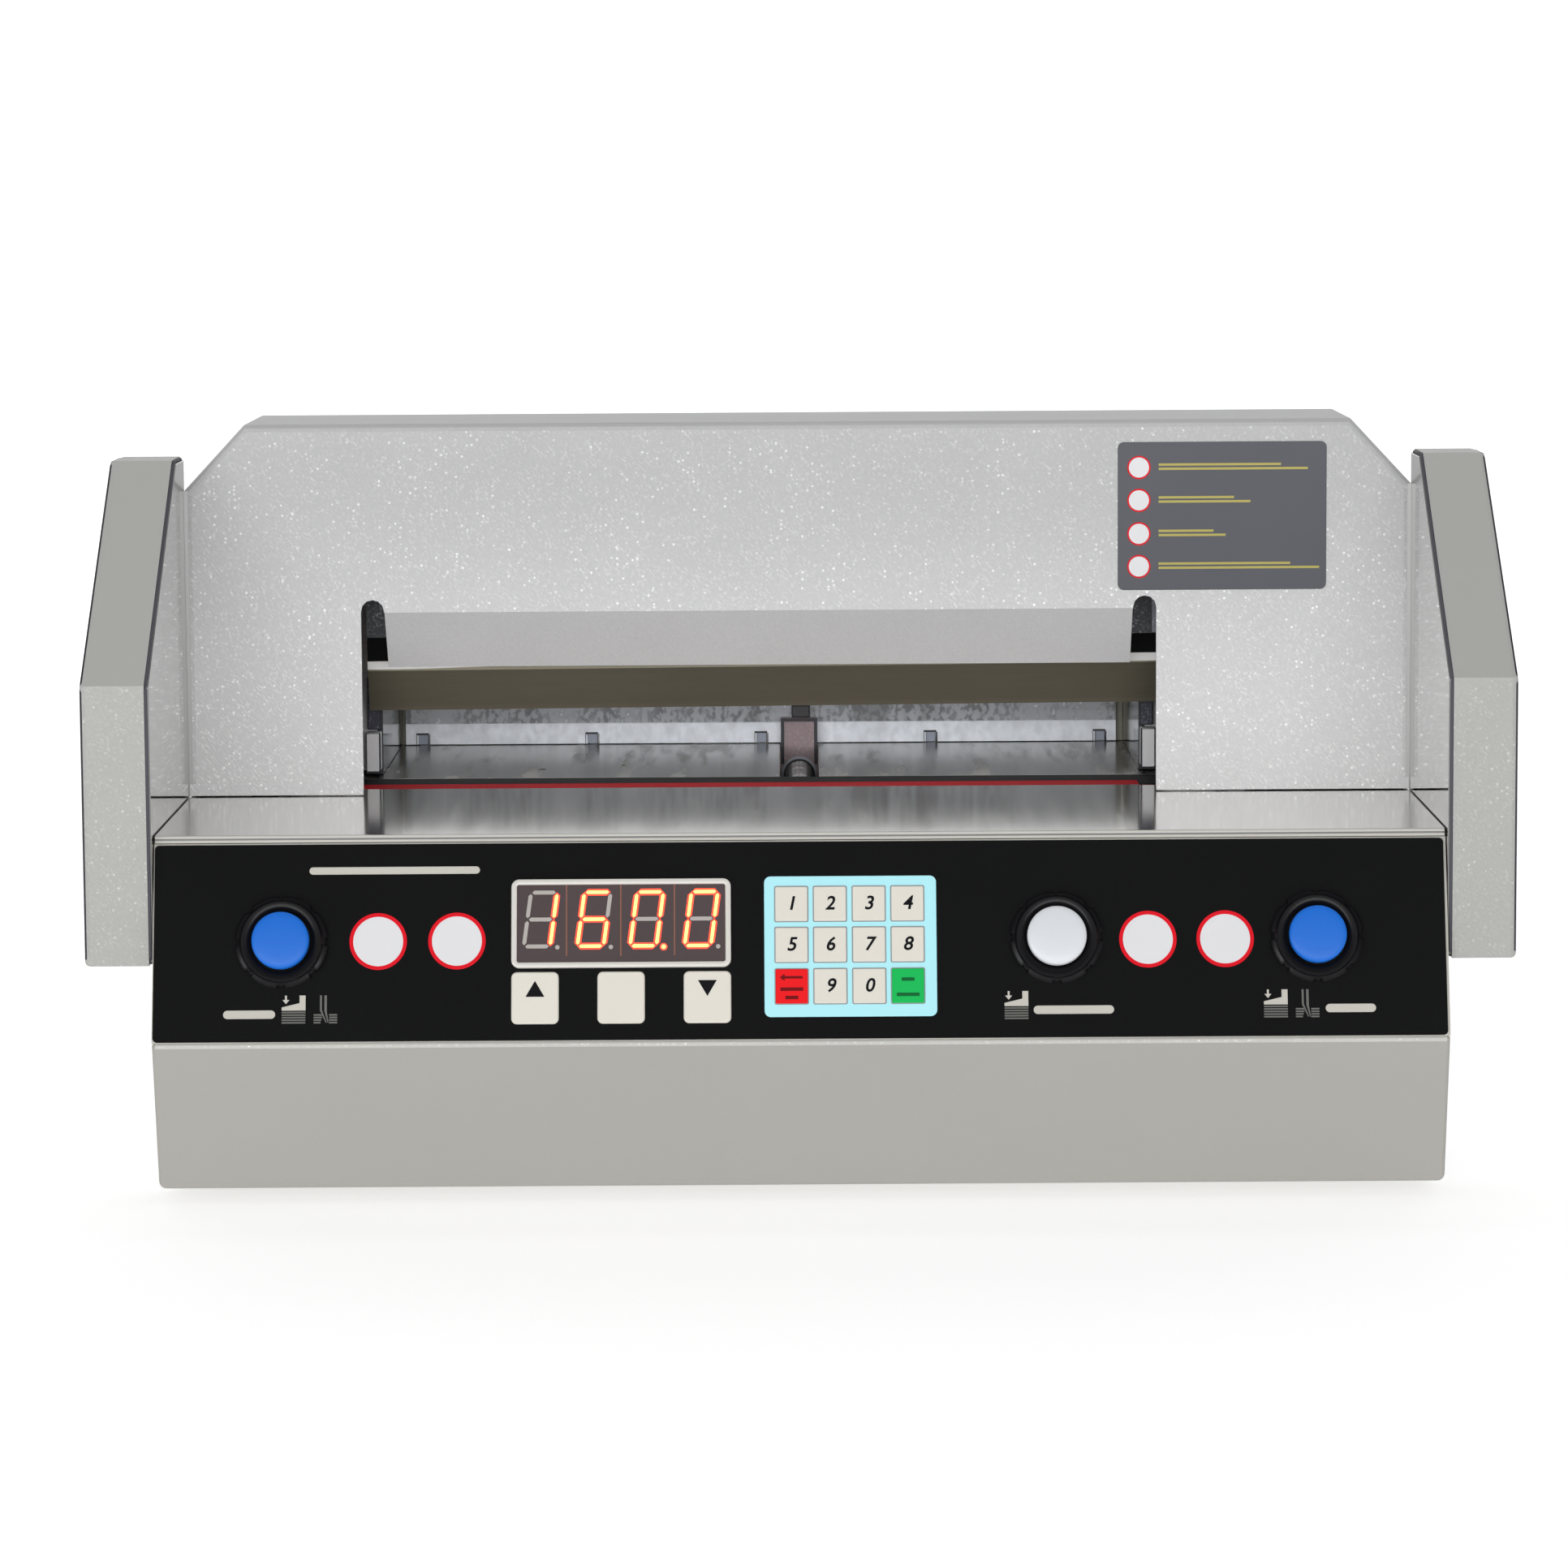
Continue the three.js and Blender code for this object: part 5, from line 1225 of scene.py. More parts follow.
@dataclass
class Display:
    """The four-figure display in its cream frame, with the three keys under it."""

    console: Console
    left: float = -116.7
    right: float = -28.0
    top: float = 15.8
    foot: float = 52.0
    rim: float = 2.3
    corner: float = 3.2
    base: float = 1.6
    proud: float = 3.4
    glass: float = 2.2
    glass_top: float = 2.5
    edge: tuple = ((0, 0.5), (0.15, 0.15), (0.5, 0))
    centres: tuple = (-104.9, -83.3, -62.0, -40.0)
    reading: str = "160.0"
    digit_top: float = 20.2
    digit_foot: float = 44.2
    width: float = 12.6
    stroke: float = 2.0
    slant: float = 0.13
    gap: float = 0.35
    halo: float = 0.34
    core: float = -0.36
    unlit: float = -0.2
    point: tuple = (0.5, 0.6)
    point_radius: float = 0.9
    point_halo: float = 1.5
    dividers: tuple = (-94.4, -72.5, -50.8)
    divider_half: tuple = (0.3, 15)
    key_line: float = 64.1
    key_columns: tuple = (-107.1, -72.4, -37.6)
    key: tuple = (19.2, 21.2, 2.3)
    key_top: float = 2.5
    key_edge: float = 0.7
    arrow_rise: float = 3.6

    SEGMENTS = {"0": "abcdef", "1": "bc", "6": "acdefg"}
    ARROWS = (((-3.8, -3.2), (3.8, -3.2), (0, 3.3)), None, ((-3.8, 3.2), (0, -3.3), (3.8, 3.2)))

    def build(self) -> None:
        """Builds the frame, the window, the figures and the keys."""
        spot = self.console.spot((self.left + self.right) / 2, (self.top + self.foot) / 2)
        w, h = self.right - self.left, self.foot - self.top

        def outline(inset: float) -> list[Point2]:
            """The frame's outline, pulled in."""
            return rounded(w, h, self.corner, inset)

        outer = [(outline(inset), self.proud - drop) for inset, drop in self.edge]
        inner = [(outline(self.rim - inset), self.proud - drop) for inset, drop in reversed(self.edge)]
        rings = [(outline(0), self.base), *outer, *inner, (outline(self.rim), self.glass)]
        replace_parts(Mesh().stack(spot, rings).piece("display_frame", "bezel_cream"), "display_bezel")
        glass = Mesh().slab(spot, lambda i: outline(self.rim + 0.05 + i), self.glass, self.glass_top)
        glass.piece("display_glass", WINDOW)
        self.figures()
        self.keys()

    def segment(self, mesh: Mesh, spot: Plane, name: str, grow: float, low: float) -> None:
        """One slanted segment of a figure, a to g.

        Args:
            mesh: the mesh that it joins.
            spot: the face with its origin at the figure's middle.
            name: the segment's letter.
            grow: how much it is swelled all round.
            low: height of its underside.
        """
        half = (self.width - self.stroke) / 2
        tall = (self.digit_foot - self.digit_top - self.stroke) / 2
        s, gap = self.stroke / 2 + grow, self.gap - grow
        flat = {"a": tall, "g": 0, "d": -tall}
        if name in flat:
            y = flat[name]
            pts = [(-half + gap, y), (-half + gap + s, y + s), (half - gap - s, y + s), (half - gap, y),
                   (half - gap - s, y - s), (-half + gap + s, y - s)]
        else:
            x = half if name in "bc" else -half
            low_y = 0 if name in "bf" else -tall
            high_y = low_y + tall
            pts = [(x, low_y + gap), (x + s, low_y + gap + s), (x + s, high_y - gap - s), (x, high_y - gap),
                   (x - s, high_y - gap - s), (x - s, low_y + gap + s)]
        mesh.polygon(spot, [(x + y * self.slant, y) for x, y in pts], low, low + self.console.film)

    def figures(self) -> None:
        """The lit reading over its unlit segments, the points and the dividers."""
        lit, halo, pale, lines = Mesh(), Mesh(), Mesh(), Mesh()
        low = self.glass_top
        high = low + self.console.film
        middle = (self.digit_top + self.digit_foot) / 2
        aside, above = self.point
        for index, (x, figure) in enumerate(zip(self.centres, self.reading.replace(".", ""))):
            spot = self.console.spot(x, middle)
            for name in "abcdefg":
                if name in self.SEGMENTS[figure]:
                    self.segment(halo, spot, name, self.halo, low)
                    self.segment(lit, spot, name, self.core, high)
                else:
                    self.segment(pale, spot, name, self.unlit, low)
            dot = self.console.spot(x + self.width / 2 + aside, self.digit_foot - above)
            pointed = index == self.reading.index(".") - 1
            if pointed:
                halo.disc(dot, self.point_halo, low, high)
            (lit if pointed else pale).disc(dot, self.point_radius, high, high + self.console.film)
        half, tall = self.divider_half
        for x in self.dividers:
            lines.bar(self.console.spot(x, middle), (-half, -tall, half, tall), low, low + 0.1)
        lit.piece("segments_lit", CORE)
        halo.piece("segments_halo", HALO)
        pale.piece("segments_unlit", UNLIT)
        lines.piece("display_dividers", DIVIDER)

    def keys(self) -> None:
        """Three raised keys: an up arrow, a bare one and a down arrow."""
        mesh, arrows = Mesh(), Mesh()
        high = self.key_top + self.console.film
        for x, arrow in zip(self.key_columns, self.ARROWS):
            spot = self.console.spot(x, self.key_line)
            mesh.plate(spot, self.key, self.console.skin, self.key_top, self.key_edge)
            if arrow:
                arrows.polygon(spot.moved(0, self.arrow_rise), arrow, self.key_top, high)
        mesh.piece("display_keys", KEY_CREAM, slot="bezel_cream")
        arrows.piece("key_arrows", PRINT_BLACK)


class Key(Enum):
    """The keypad's kinds of key."""

    CREAM = "cream"
    RED = "red"
    GREEN = "green"


@dataclass
class Keypad:
    """The twelve-key pad: a light blue plate with cream, red and green keys."""

    console: Console
    left: float = -14.6
    right: float = 55.0
    top: float = 15.0
    foot: float = 72.4
    corner: float = 2.6
    level: float = 1.75
    columns: tuple = (-3.6, 12.0, 27.7, 43.3)
    rows: tuple = (26.4, 43.1, 60.0)
    rim: tuple = (13.9, 14.9, 0.8)
    rim_top: float = 1.83
    key: tuple = (13, 14, 0.6)
    key_top: float = 2.35
    edge: float = 0.2
    key_edge: float = 0.3
    mark_half: float = 0.7
    figure: float = 7.8
    slant: float = 0.2
    weight: float = 0.14
    labels: tuple = ("1234", "5678", "r90g")
    looks: dict[str, Key] = field(default_factory=lambda: {"r": Key.RED, "g": Key.GREEN})

    ARROW = ((-4.8, 3.6), (-2.9, 2.1), (-2.9, 3.1), (4.4, 3.1), (4.4, 4.1), (-2.9, 4.1), (-2.9, 5.1))
    BARS = {Key.RED: ((-1.2, 4.6), (-4.6, 2.6)), Key.GREEN: ((2.6, 2.6), (-3.6, 4.6))}

    def build(self) -> None:
        """Builds the plate, the keys and their figures."""
        spot = self.console.spot((self.left + self.right) / 2, (self.top + self.foot) / 2)
        size = (self.right - self.left, self.foot - self.top, self.corner)
        plate = Mesh().plate(spot, size, self.console.skin, self.level, self.edge)
        plate.piece("keypad_plate", PAD_BLUE)
        keys, marks = {look: Mesh() for look in Key}, {look: Mesh() for look in self.BARS}
        rims, figures = Mesh(), Mesh()
        high = self.key_top + self.console.film
        for down, row in zip(self.rows, self.labels):
            for x, label in zip(self.columns, row):
                place = self.console.spot(x, down)
                look = self.looks.get(label, Key.CREAM)
                rims.plate(place, self.rim, self.level, self.rim_top)
                keys[look].plate(place, self.key, self.rim_top, self.key_top, self.key_edge)
                if look is Key.CREAM:
                    figures.text(place, label, self.figure, self.key_top, high, self.slant, self.weight)
                else:
                    self.mark(marks[look], place, look)
        for look, finish in ((Key.RED, PRINT_MAROON), (Key.GREEN, PRINT_PINE)):
            marks[look].piece(f"keypad_marks_{look.value}", finish)
        keys[Key.CREAM].piece("keypad_keys", KEY_CREAM, slot="bezel_cream")
        keys[Key.RED].piece("keypad_key_red", KEY_RED)
        keys[Key.GREEN].piece("keypad_key_green", KEY_GREEN)
        rims.piece("keypad_key_rims", KEY_SHADE)
        figures.piece("keypad_figures", PRINT_BLACK)

    def mark(self, mesh: Mesh, place: Plane, look: Key) -> None:
        """Bare bars on a coloured key, with an arrow to the left on the red one.

        Args:
            mesh: the mesh that they join.
            place: the face with its origin at the key's middle.
            look: the key's kind.
        """
        low, high = self.key_top, self.key_top + self.console.film
        if look is Key.RED:
            mesh.polygon(place, self.ARROW, low, high)
        for y, half in self.BARS[look]:
            mesh.bar(place, (-half, y - self.mark_half, half, y + self.mark_half), low, high)


@dataclass
class UpperCover:
    """The bare plate on the upper cover's front, with its discs and bars."""

    left: float = 136.6
    right: float = 225.6
    foot: float = 86.6
    top: float = 149.8
    corner: float = 2.6
    back: float = 0.02
    level: float = 0.42
    edge: float = 0.15
    disc_x: float = 145.6
    disc_radius: float = 4.3
    ring_radius: float = 5
    rows: tuple = (139.0, 125.0, 110.7, 96.7)
    ends: tuple = (217.6, 193.2, 182.6, 222.6)
    indent: float = 8.4
    shorter: float = 0.82
    thick: float = 1
    disc_proud: float = 0.08
    ring_proud: float = 0.11
    bar_proud: float = 0.06

    def build(self) -> None:
        """Builds the plate and what is printed on it."""
        spot = FRONT.moved((self.left + self.right) / 2, (self.foot + self.top) / 2)
        size = (self.right - self.left, self.top - self.foot, self.corner)
        Mesh().plate(spot, size, self.back, self.level, self.edge).piece("label_plate", LABEL_GREY)
        white, red, yellow = Mesh(), Mesh(), Mesh()
        start = self.disc_x + self.indent
        for z, end in zip(self.rows, self.ends):
            disc = FRONT.moved(self.disc_x, z)
            white.disc(disc, self.disc_radius, self.level, self.level + self.disc_proud, steps=40)
            red.ring(disc, self.ring_radius, self.disc_radius, self.level, self.level + self.ring_proud, 40)
            for foot, stop in ((z - 1.1, end), (z + 0.7, start + (end - start) * self.shorter)):
                box = (start, foot, stop, foot + self.thick)
                yellow.bar(FRONT, box, self.level, self.level + self.bar_proud)
        white.piece("label_discs", PRINT_WHITE)
        red.piece("label_rings", PRINT_RED)
        yellow.piece("label_bars", PRINT_YELLOW)


@dataclass
class Wings:
    """Dark edge beads and gaskets of the two side wings."""

    inner: float = 263.8
    outer: float = 290
    front: float = -142
    foot: float = -52
    shoulder: float = 62
    top: float = 146
    crest: float = -26
    back: float = 5
    turn: float = 2.4
    bead: float = 0.45
    bead_inset: float = 0.75
    gasket: float = 0.7
    gasket_inset: float = 0.95
    gasket_sunk: float = 0.5

    def build(self) -> None:
        """Builds the beads and gaskets of both wings."""
        for side in Side:
            edge = self.path(side.value * (self.outer - self.bead_inset), self.bead_inset)
            Mesh().tube(edge, self.bead, 8, True).piece(f"wing_beads_{side.tag}", TRIM_DARK)
            edge = self.path(side.value * (self.inner - self.gasket_sunk), self.gasket_inset)
            Mesh().tube(edge, self.gasket, 8, True).piece(f"wing_gasket_{side.tag}", GASKET)

    def path(self, x: float, inset: float) -> list[Vector]:
        """The wing's outline at one X, as points that keep its corners tight.

        Args:
            x: the outline's X.
            inset: how far it is pulled in.

        Returns:
            The points, in metres.
        """
        corners = [(self.front + inset, self.foot + inset), (self.back - inset, self.foot + inset),
                   (self.back - inset, self.top - inset), (self.crest, self.top - inset),
                   (self.front + inset, self.shoulder - inset / 2)]
        points = []
        for (y0, z0), (y1, z1) in zip(corners, corners[1:] + corners[:1]):
            near = self.turn / math.hypot(y1 - y0, z1 - z0)
            for share in (near, 0.5, 1 - near):
                points.append(ORIGIN + Vector((x, y0 + (y1 - y0) * share, z0 + (z1 - z0) * share)) * MM)
        return points


@dataclass
class Throat:
    """Inside the opening: knife bolts, details of gauge and carriage, the cover's hem and side strips, the
    lead screw's thread.
    """

    carrier_front: float = 22.5
    bolt_line: float = 76
    bolt_count: int = 7
    bolt_sunk: float = 2
    width: float = 335
    centre: float = -17
    carriage_face: float = 191.2
    carriage_top: float = 12.3
    carriage_foot: float = -9
    carriage_half: float = 8.45
    carriage_shade_rim: float = 1.5
    carriage_proud: float = 0.5
    screw_front: float = 63.6
    screw_line: float = -13.8
    screw_length: float = 323.8
    screw_radius: float = 6.25
    screw_pitch: float = 4
    screw_bead: float = 0.42
    gauge_face: float = 198
    notch_count: int = 5
    notch_pitch: float = 78.6
    notch_shift: float = -0.8
    notch_half: float = 2.65
    notch_top: float = 4.8
    notch_foot: float = 0.5
    rim_band: tuple = (0.3, 0.9, 0.12)
    floor: tuple = (-2.5, 0.4, 2.5, 4.7)
    floor_span: tuple = (-2.2, -1.6)
    gap_felts: tuple = ((147.4, 150.3), (-184.3, -183.0))
    gap_felt_span: tuple = (-8, -3)
    clip_place: tuple = (0.8, 15)
    clip: tuple = (8.4, 5.6, 0.8)
    clip_proud: float = 2.4
    guide_front: float = 80.3
    guides: tuple = ((Side.LEFT, -185.5, -185.0, -188.2), (Side.RIGHT, 151.5, 151.0, 153.9))
    guide_end: tuple = (5.4, 23.4, 0.5)
    guide_middle: float = 32.2
    guide_half: float = 1.05
    guide_proud: float = 4.2
    strip: tuple = (0.02, 0.3)
    block_front: float = 68
    block_foot: float = 1.9
    block_top: float = 19.9
    block_width: float = 6.2
    block_half: float = 0.35
    deck: float = 44
    hems: tuple = ((-261.6, -187.2), (153.2, 261.6))
    hem_height: float = 5
    hem_corner: float = 0.2
    hem_edge: float = 0.03
    hem_middle: float = 3.0
    hem_span: tuple = (-0.9, 0.03)
    side_light_strips: tuple = (-261.96, 260.26)
    light_strip_width: float = 1.7
    light_strip_foot: float = 0.3
    light_strip_top: float = 131.4
    light_strip_span: tuple = (-5, -0.2)
    stick_end: tuple = (147.3, 25.2, 158.3, 41.8)
    lit_patch_place: tuple = (158.6, 82)
    scale: tuple = (12, 31, 0.5)
    plugs: tuple = ((-114.6, 97, 1.35), (-79, 110, 0.9))
    plug_profile: tuple = ((0, 0), (0, 0.1), (0.2, 0.16), (0.3, 0.05))

    NUT = (("nut_collar", 8.4, 7.2, 0.55, COLLAR), ("nut_gap", 7.2, 6.7, 0.3, TRIM_DARK))

    @property
    def gauge(self) -> Plane:
        """The gauge's front face."""
        return FRONT.moved(0, 0, -self.gauge_face)

    def build(self) -> None:
        """Builds the pieces on the knife head, the gauge and the tables."""
        self.knife_bolts()
        self.carriage()
        self.nut()
        self.thread()
        self.notches()
        self.guide_edges()
        self.hem_and_edge_strips()
        self.table_plugs()

    def spread(self, count: int, pitch: float) -> list[float]:
        """Places at an even pitch about the opening's middle."""
        return [self.centre + (i - (count - 1) / 2) * pitch for i in range(count)]

    def knife_bolts(self) -> None:
        """The row of cap bolts that hold the knife to its carrier."""
        face = FRONT.moved(0, 0, -self.carrier_front - self.bolt_sunk)
        places = [(x, self.bolt_line) for x in self.spread(self.bolt_count, self.width / self.bolt_count)]
        SocketBolts().row("knife_bolts", face, places, "knife_head")

    def carriage(self) -> None:
        """A raised dark rim over the top and sides of the carriage's front face: painted shade round it."""
        spot = FRONT.moved(0, 0, -self.carriage_face)
        half, top, wide, foot = self.carriage_half, self.carriage_top, self.carriage_shade_rim, self.carriage_foot
        mesh = Mesh().polygon(spot, [
            (-half, foot), (-half + wide, foot), (-half + wide, top - wide), (half - wide, top - wide),
            (half - wide, foot), (half, foot), (half, top), (-half, top)], 0, self.carriage_proud)
        mesh.piece("carriage_shade_rim", TRIM_DARK, "gauge", "carriage_brass")

    def nut(self) -> None:
        """The bright collar of the nut and the dark gap inside it."""
        spot = FRONT.moved(0, self.screw_line, -self.carriage_face)
        for name, outer, inner, proud, finish in self.NUT:
            Mesh().ring(spot, outer, inner, 0, proud).piece(name, finish, "gauge", "machined_steel")

    def thread(self) -> None:
        """The lead screw's thread: a round bead wound along its plain shaft."""
        steps = 20
        start = Vector((0, self.screw_front, self.screw_line))
        run = Vector(Axis.Y.value)
        side = run.orthogonal().normalized()
        across = run.cross(side)
        path = []
        for i in range(int(self.screw_length / self.screw_pitch * steps) + 1):
            a = TAU * i / steps
            around = (side * math.cos(a) + across * math.sin(a)) * self.screw_radius
            path.append(ORIGIN + (start + run * (self.screw_pitch * i / steps) + around) * MM)
        Mesh().tube(path, self.screw_bead, 6).piece("lead_thread", "machined_steel", "gauge_spindle")

    def hem_and_edge_strips(self) -> None:
        """The cover's folded hem over the table, light grey strips at the cover's side edges against the wing
        plates, painted light on the shaded rounded edges, and the stick's end.
        """
        hem, side = Mesh(), Mesh()
        for left, right in self.hems:
            size = (right - left, self.hem_height, self.hem_corner)
            hem.plate(FRONT.moved((left + right) / 2, self.hem_middle), size, *self.hem_span, self.hem_edge)
        hem.piece("cover_hem", "body_paint")
        # Painted light: light grey strips over the cover's rounded side edges, which lie in shade.
        for x in self.side_light_strips:
            side.bar(FRONT, (x, self.light_strip_foot, x + self.light_strip_width, self.light_strip_top), *self.light_strip_span)
        side.piece("cover_side_light_strips", EDGE_LIGHT, slot="wing_paint")
        Mesh().bar(TOP, self.stick_end, *self.strip).piece("stick_end", "black_paint")

    def guide_edges(self) -> None:
        """Dark strips on the side guides' front ends and round the guide blocks, those round the blocks being
        painted shade, and a lighter patch of painted light on the carrier.
        """
        mesh, ends = Mesh(), Mesh()
        front = FRONT.moved(0, 0, -self.guide_front)
        blocks = FRONT.moved(0, 0, -self.block_front)
        for side, wall, block, end in self.guides:
            half, foot = self.guide_half, self.block_foot
            mesh.bar(front, (wall - half, 0.3, wall + half, self.deck), *self.strip)
            # Painted shade: thin dark bars along each guide block's edge and foot stand for the shade round
            # it.
            half = self.block_half
            mesh.bar(blocks, (block - half, foot, block + half, self.block_top), 0, 0.3)
            left = block - (self.block_width if side is Side.LEFT else 0)
            mesh.bar(blocks, (left, foot, left + self.block_width, foot + 2 * half), 0, 0.3)
            ends.plate(front.moved(end, self.guide_middle), self.guide_end, 0, self.guide_proud, 0.4)
        mesh.piece("guide_edges", TRIM_DARK, slot="black_paint")
        ends.piece("guide_ends", GUIDE_END, slot="black_paint")
        # Painted light: a lighter bluish patch on the dark carrier at the right of the opening, where light
        # falls on it.
        face = FRONT.moved(*self.lit_patch_place, -self.carrier_front)
        scale = Mesh().plate(face, self.scale, 0, 0.4, 0.3)
        scale.piece("carrier_lit_patch", CARRIER_LIT_PATCH, "knife_head", "cast_iron")

    def notches(self) -> None:
        """The dark rims and shaded floors of the gauge's notches, dark felt strips that fill the gaps beside
        the gauge as painted shade, and the carriage's clip.
        """
        rims, floors, gap_felts = Mesh(), Mesh(), Mesh()
        w, top, foot = self.notch_half, self.notch_top, self.notch_foot
        side, above, proud = self.rim_band
        rim = [(-w, foot), (-w, top), (w, top), (w, foot), (w + side, foot), (w + side, top + above),
               (-w - side, top + above), (-w - side, foot)]
        for x in self.spread(self.notch_count, self.notch_pitch):
            spot = self.gauge.moved(x + self.notch_shift, 0)
            rims.polygon(spot, rim, 0, proud)
            floors.bar(spot, self.floor, *self.floor_span)
        rims.piece("notch_rims", TRIM_DARK, "gauge", "gauge_steel")
        floors.piece("notch_floors", NOTCH_FLOOR, "gauge", "gauge_steel")
        # Painted shade: dark felt strips fill the gaps between the gauge's ends and the side guides, where
        # those gaps lie in shade.
        for near, far in self.gap_felts:
            gap_felts.bar(self.gauge, (near, 0.4, far, self.deck - 0.4), *self.gap_felt_span)
        gap_felts.piece("gauge_gap_felts", GAP_SHADE_FELT, "gauge", "black_rubber")
        clip = Mesh().plate(self.gauge.moved(*self.clip_place), self.clip, 0, self.clip_proud, 0.5)
        clip.piece("carriage_clip", DARK_OXIDE, "gauge", "machined_steel")

    def table_plugs(self) -> None:
        """Two small plugged holes in the rear table."""
        mesh = Mesh()
        for x, y, r in self.plugs:
            mesh.turned(TOP.moved(x, y), [(r - inset, out) for inset, out in self.plug_profile], 24)
        mesh.piece("table_plugs", DARK_OXIDE)


@dataclass
class Housing:
    """The lower front cover, the panels' screws and the marks on the mains rocker."""

    half: float = 261.7
    head: float = -81.6
    foot: float = -144
    front: float = -157.35
    tuck: float = 17
    back: float = -120
    wall: float = 2.5
    corner: float = 3
    shoulder: float = 1
    soft: float = 1.5
    fold: float = 1.3
    fold_stops: tuple = (-260.3, -90, 90, 260.3)
    rocker_inset: float = 0.932
    rocker_faces: tuple = ((-1.21, 3.21, 0.0806, 0.9967), (-0.28, -3.42, -0.352, 0.936))
    rocker_stroke: tuple = (-0.3, -1.7, 0.3, 1.7)
    rocker_ring: tuple = (1.7, 1.2)
    rocker_span: tuple = (0.01, 0.09)
    side_screws: tuple = ((-105, -133), (-105, -65), (60, -133), (225, -133), (393, -133), (393, -50),
                          (393, 34), (225, 34))
    cover_screws: tuple = ((72, 18), (72, 62), (72, 106))
    upper_screws: tuple = ((247, 14), (247, 66), (247, 118), (212, 148), (78, 148))
    bottom_screws: tuple = ((248, 108), (248, -140), (248, -392), (84, 108), (84, -392))

    def build(self) -> None:
        """Builds the lower cover, the panel screws and the rocker's marks."""
        self.lower_cover()
        self.screws()
        self.rocker_marks()

    def ring(self, inset: float, deep: float | None = None, push: float = 0) -> Ring:
        """The lower cover's outline.

        Args:
            inset: how far it is pulled in.
            deep: the Y of an upright outline; without it the outline lies on the sloping front.
            push: how far a sloping outline lies behind the front.

        Returns:
            The outline's points.
        """
        points = []
        x, low, high = self.half - inset, self.foot + inset, self.head - inset
        corners = ((1, high, self.shoulder), (-1, high, self.shoulder),
                   (-1, low, self.corner), (1, low, self.corner))
        for i, (sx, z, r) in enumerate(corners):
            r = max(r - inset, 0.2)
            for k in range(7):
                a = TAU / 4 * (i + k / 6)
                px = sx * (x - r) + r * math.cos(a)
                pz = z + (-r if i < 2 else r) + r * math.sin(a)
                slope = self.front + (self.head - pz) / (self.head - self.foot) * self.tuck + push
                points.append(ORIGIN + Vector((px, slope if deep is None else deep, pz)) * MM)
        return points

    def lower_cover(self) -> None:
        """The grey lower cover: a pan with round corners, open to the back, and a light bead along its fold
        that is a painted highlight.
        """
        rings = [self.ring(self.wall, push=self.wall), self.ring(self.wall, self.back),
                 self.ring(0, self.back)]
        for k in range(4):
            a = TAU / 4 * k / 3
            rings.append(self.ring(self.soft * (1 - math.cos(a)), push=self.soft * (1 - math.sin(a))))
        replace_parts(Mesh().loft(rings).piece("lower_cover", "cover_grey"), "front_cover")
        # Painted highlight: a light bead along the cover's rounded top edge.
        y, z = self.front + 1.25, self.head - 1.0
        path = [ORIGIN + Vector((x, y, z)) * MM for x in self.fold_stops]
        Mesh().tube(path, self.fold, 12).piece("lower_cover_fold_highlight", FOLD_HIGHLIGHT, slot="cover_grey")

    def screws(self) -> None:
        """The screws of the rear, side, upper rear and bottom panels and of the upper cover."""
        large, small = Screws(), Screws(5.2, 1.5, 3.0)
        low, high = machine("rear_panel")
        width, foot, top = high.x - 8, low.z + 9, high.z - 9
        places = [(x, z) for z in (foot, top) for x in (-width, -width / 3, width / 3, width)]
        places += [(side.value * width, (foot + top) / 2) for side in Side]
        large.row("rear_panel_screws", REAR, places)
        for side in Side:
            sign = side.value
            wall = Plane(Vector((sign * self.half, 0, 0)), Vector((0, sign, 0)), Vector((0, 0, 1)))
            large.row(f"side_screws_{side.tag}", wall, [(sign * y, z) for y, z in self.side_screws])
            small.row(f"cover_screws_{side.tag}", wall, [(sign * y, z) for y, z in self.cover_screws])
        upper = REAR.moved(0, 0, machine("upper_rear_panel")[1].y - high.y)
        small.row("upper_rear_screws", upper, self.mirrored(self.upper_screws))
        below = Plane(Vector((0, 0, self.foot)), Vector((1, 0, 0)), Vector((0, -1, 0)))
        large.row("bottom_screws", below, self.mirrored(self.bottom_screws))

    def mirrored(self, places: Sequence[Point2]) -> list[Point2]:
        """Places on both sides of the middle."""
        return [(side.value * x, y) for x, y in places for side in Side]

    def rocker_marks(self) -> None:
        """A stroke and a ring on the two faces of the mains rocker."""
        low, high = machine("mains_rocker")
        middle, marks = (low + high) / 2, Mesh()
        faces = []
        for back, rise, lean, tall in self.rocker_faces:
            origin = Vector((middle.x, high.y - self.rocker_inset + back, middle.z + rise))
            faces.append(Plane(origin, Vector((-1, 0, 0)), Vector((0, lean, tall))))
        marks.bar(faces[0], self.rocker_stroke, *self.rocker_span)
        marks.ring(faces[1], *self.rocker_ring, *self.rocker_span, 32)
        marks.piece("rocker_marks", PRINT_CREAM, "rocker", "black_plastic")


@dataclass(frozen=True)
class Lamp:
    """A soft rectangular light, in metres and watts, that faces a target."""

    name: str
    place: tuple[float, float, float]
    size: Point2
    power: float
    target: tuple[float, float, float]

    def build(self) -> None:
        """Hangs the light."""
        data = bpy.data.lights.new(self.name, "AREA")
        data.shape = "RECTANGLE"
        data.size, data.size_y = self.size
        data.energy = self.power
        lamp = bpy.data.objects.new(self.name, data)
        lamp.location = self.place
        lamp.rotation_euler = (Vector(self.target) - Vector(self.place)).to_track_quat("-Z", "Y").to_euler()
        bpy.context.scene.collection.objects.link(lamp)


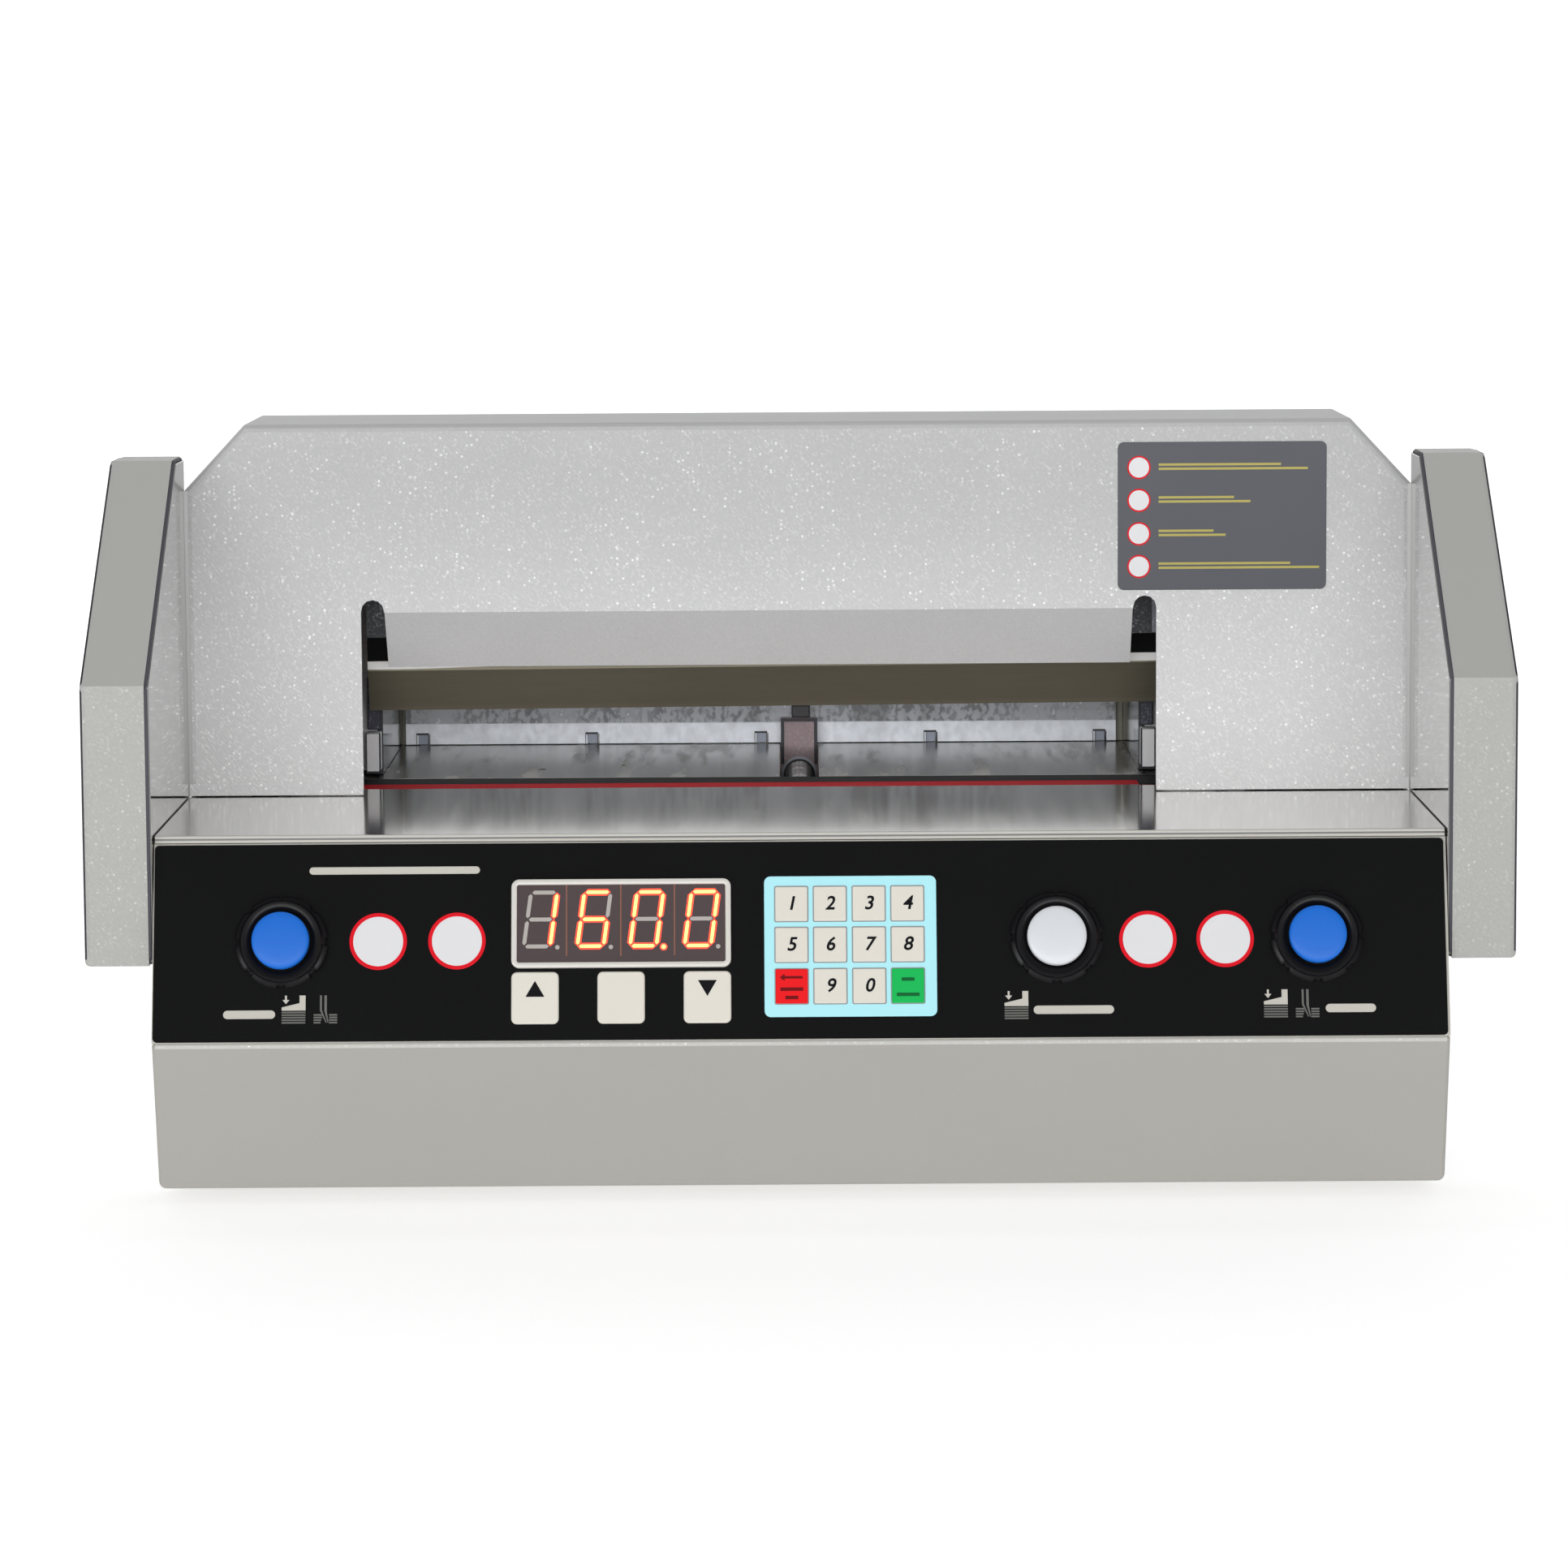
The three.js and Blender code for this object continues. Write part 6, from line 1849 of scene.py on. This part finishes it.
@dataclass
class Studio:
    """White ground, soft light and the photograph's camera."""

    camera_y: float = -2353
    camera_z: float = 279.6
    pitch: float = 6.68
    roll: float = 0.36
    focal: float = 6800
    picture: float = 1932
    shift: float = 19
    sensor: float = 36
    glow: float = 0.3
    ground_half: float = 30.0
    ground_front: float = -30.0
    ground_back: float = 3.2
    ground_rise: float = 5.0
    ground_bend: float = 1.2
    ground_sunk: float = 0.0005
    lamps: tuple[Lamp, ...] = (
        Lamp("key", (-0.5, -3.6, 0.5), (4.6, 0.6), 62, (0, 0, 0.06)),
        Lamp("tent", (0, -4.2, 1.2), (6.0, 2.2), 24, (0, 0, 0.6)),
        Lamp("top", (0, 0.2, 3.2), (3.0, 3.0), 8, (0, 0, 0)),
        Lamp("backdrop", (0, 1.4, 3.0), (5.0, 1.6), 30, (0, 3.8, 0.9)),
    )

    def build(self) -> None:
        """Builds the ground, the lights and the camera."""
        self.ground()
        self.world()
        for lamp in self.lamps:
            lamp.build()
        self.camera()
        settings = bpy.context.scene.view_settings
        settings.view_transform = "Standard"
        settings.look = "None"

    def ground(self) -> None:
        """A pale sheet that runs back and curves up."""
        back, bend = self.ground_back, self.ground_bend
        outline = [(self.ground_front, 0.0)]
        for k in range(13):
            a = TAU / 4 * k / 12
            outline.append((back + bend * math.sin(a), bend * (1 - math.cos(a))))
        outline.append((back + bend, self.ground_rise))
        mesh = bpy.data.meshes.new("ground")
        half, count = self.ground_half, len(outline)
        points = [(x, y, z - self.ground_sunk) for x in (-half, half) for y, z in outline]
        mesh.from_pydata(points, [], [(i, i + 1, count + i + 1, count + i) for i in range(count - 1)])
        for polygon in mesh.polygons:
            polygon.use_smooth = True
        mesh.materials.append(FLOOR_WHITE.material())
        ground = bpy.data.objects.new("ground", mesh)
        bpy.context.scene.collection.objects.link(ground)
        ground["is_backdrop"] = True

    def world(self) -> None:
        """Even white surroundings."""
        world = bpy.data.worlds.new("studio")
        world.use_nodes = True
        background = world.node_tree.nodes["Background"]
        background.inputs["Color"].default_value = (1, 1, 1, 1)
        background.inputs["Strength"].default_value = self.glow
        bpy.context.scene.world = world

    def camera(self) -> None:
        """The camera at the photograph's place and angle."""
        data = bpy.data.cameras.new("photo")
        data.sensor_width = self.sensor
        data.lens = self.focal / self.picture * self.sensor
        data.shift_x = -self.shift / self.picture
        data.clip_start, data.clip_end = 0.05, 60
        camera = bpy.data.objects.new("photo", data)
        camera.location = ORIGIN + Vector((0, self.camera_y, self.camera_z)) * MM
        tilt = Matrix.Rotation(math.radians(90 - self.pitch), 4, "X")
        camera.rotation_euler = (tilt @ Matrix.Rotation(math.radians(-self.roll), 4, "Z")).to_euler()
        bpy.context.scene.collection.objects.link(camera)
        bpy.context.scene.camera = camera


def main() -> None:
    """Builds the machine's looks and the studio, in order, and reports each."""
    for assembly in (Frame(), Console(), UpperCover(), Wings(), Throat(), Housing(), Studio()):
        assembly.build()
        LOG.info("%s built", type(assembly).__name__)
    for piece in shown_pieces():
        LOG.info("piece %s", piece.name)


if __name__ == "__main__":
    main()
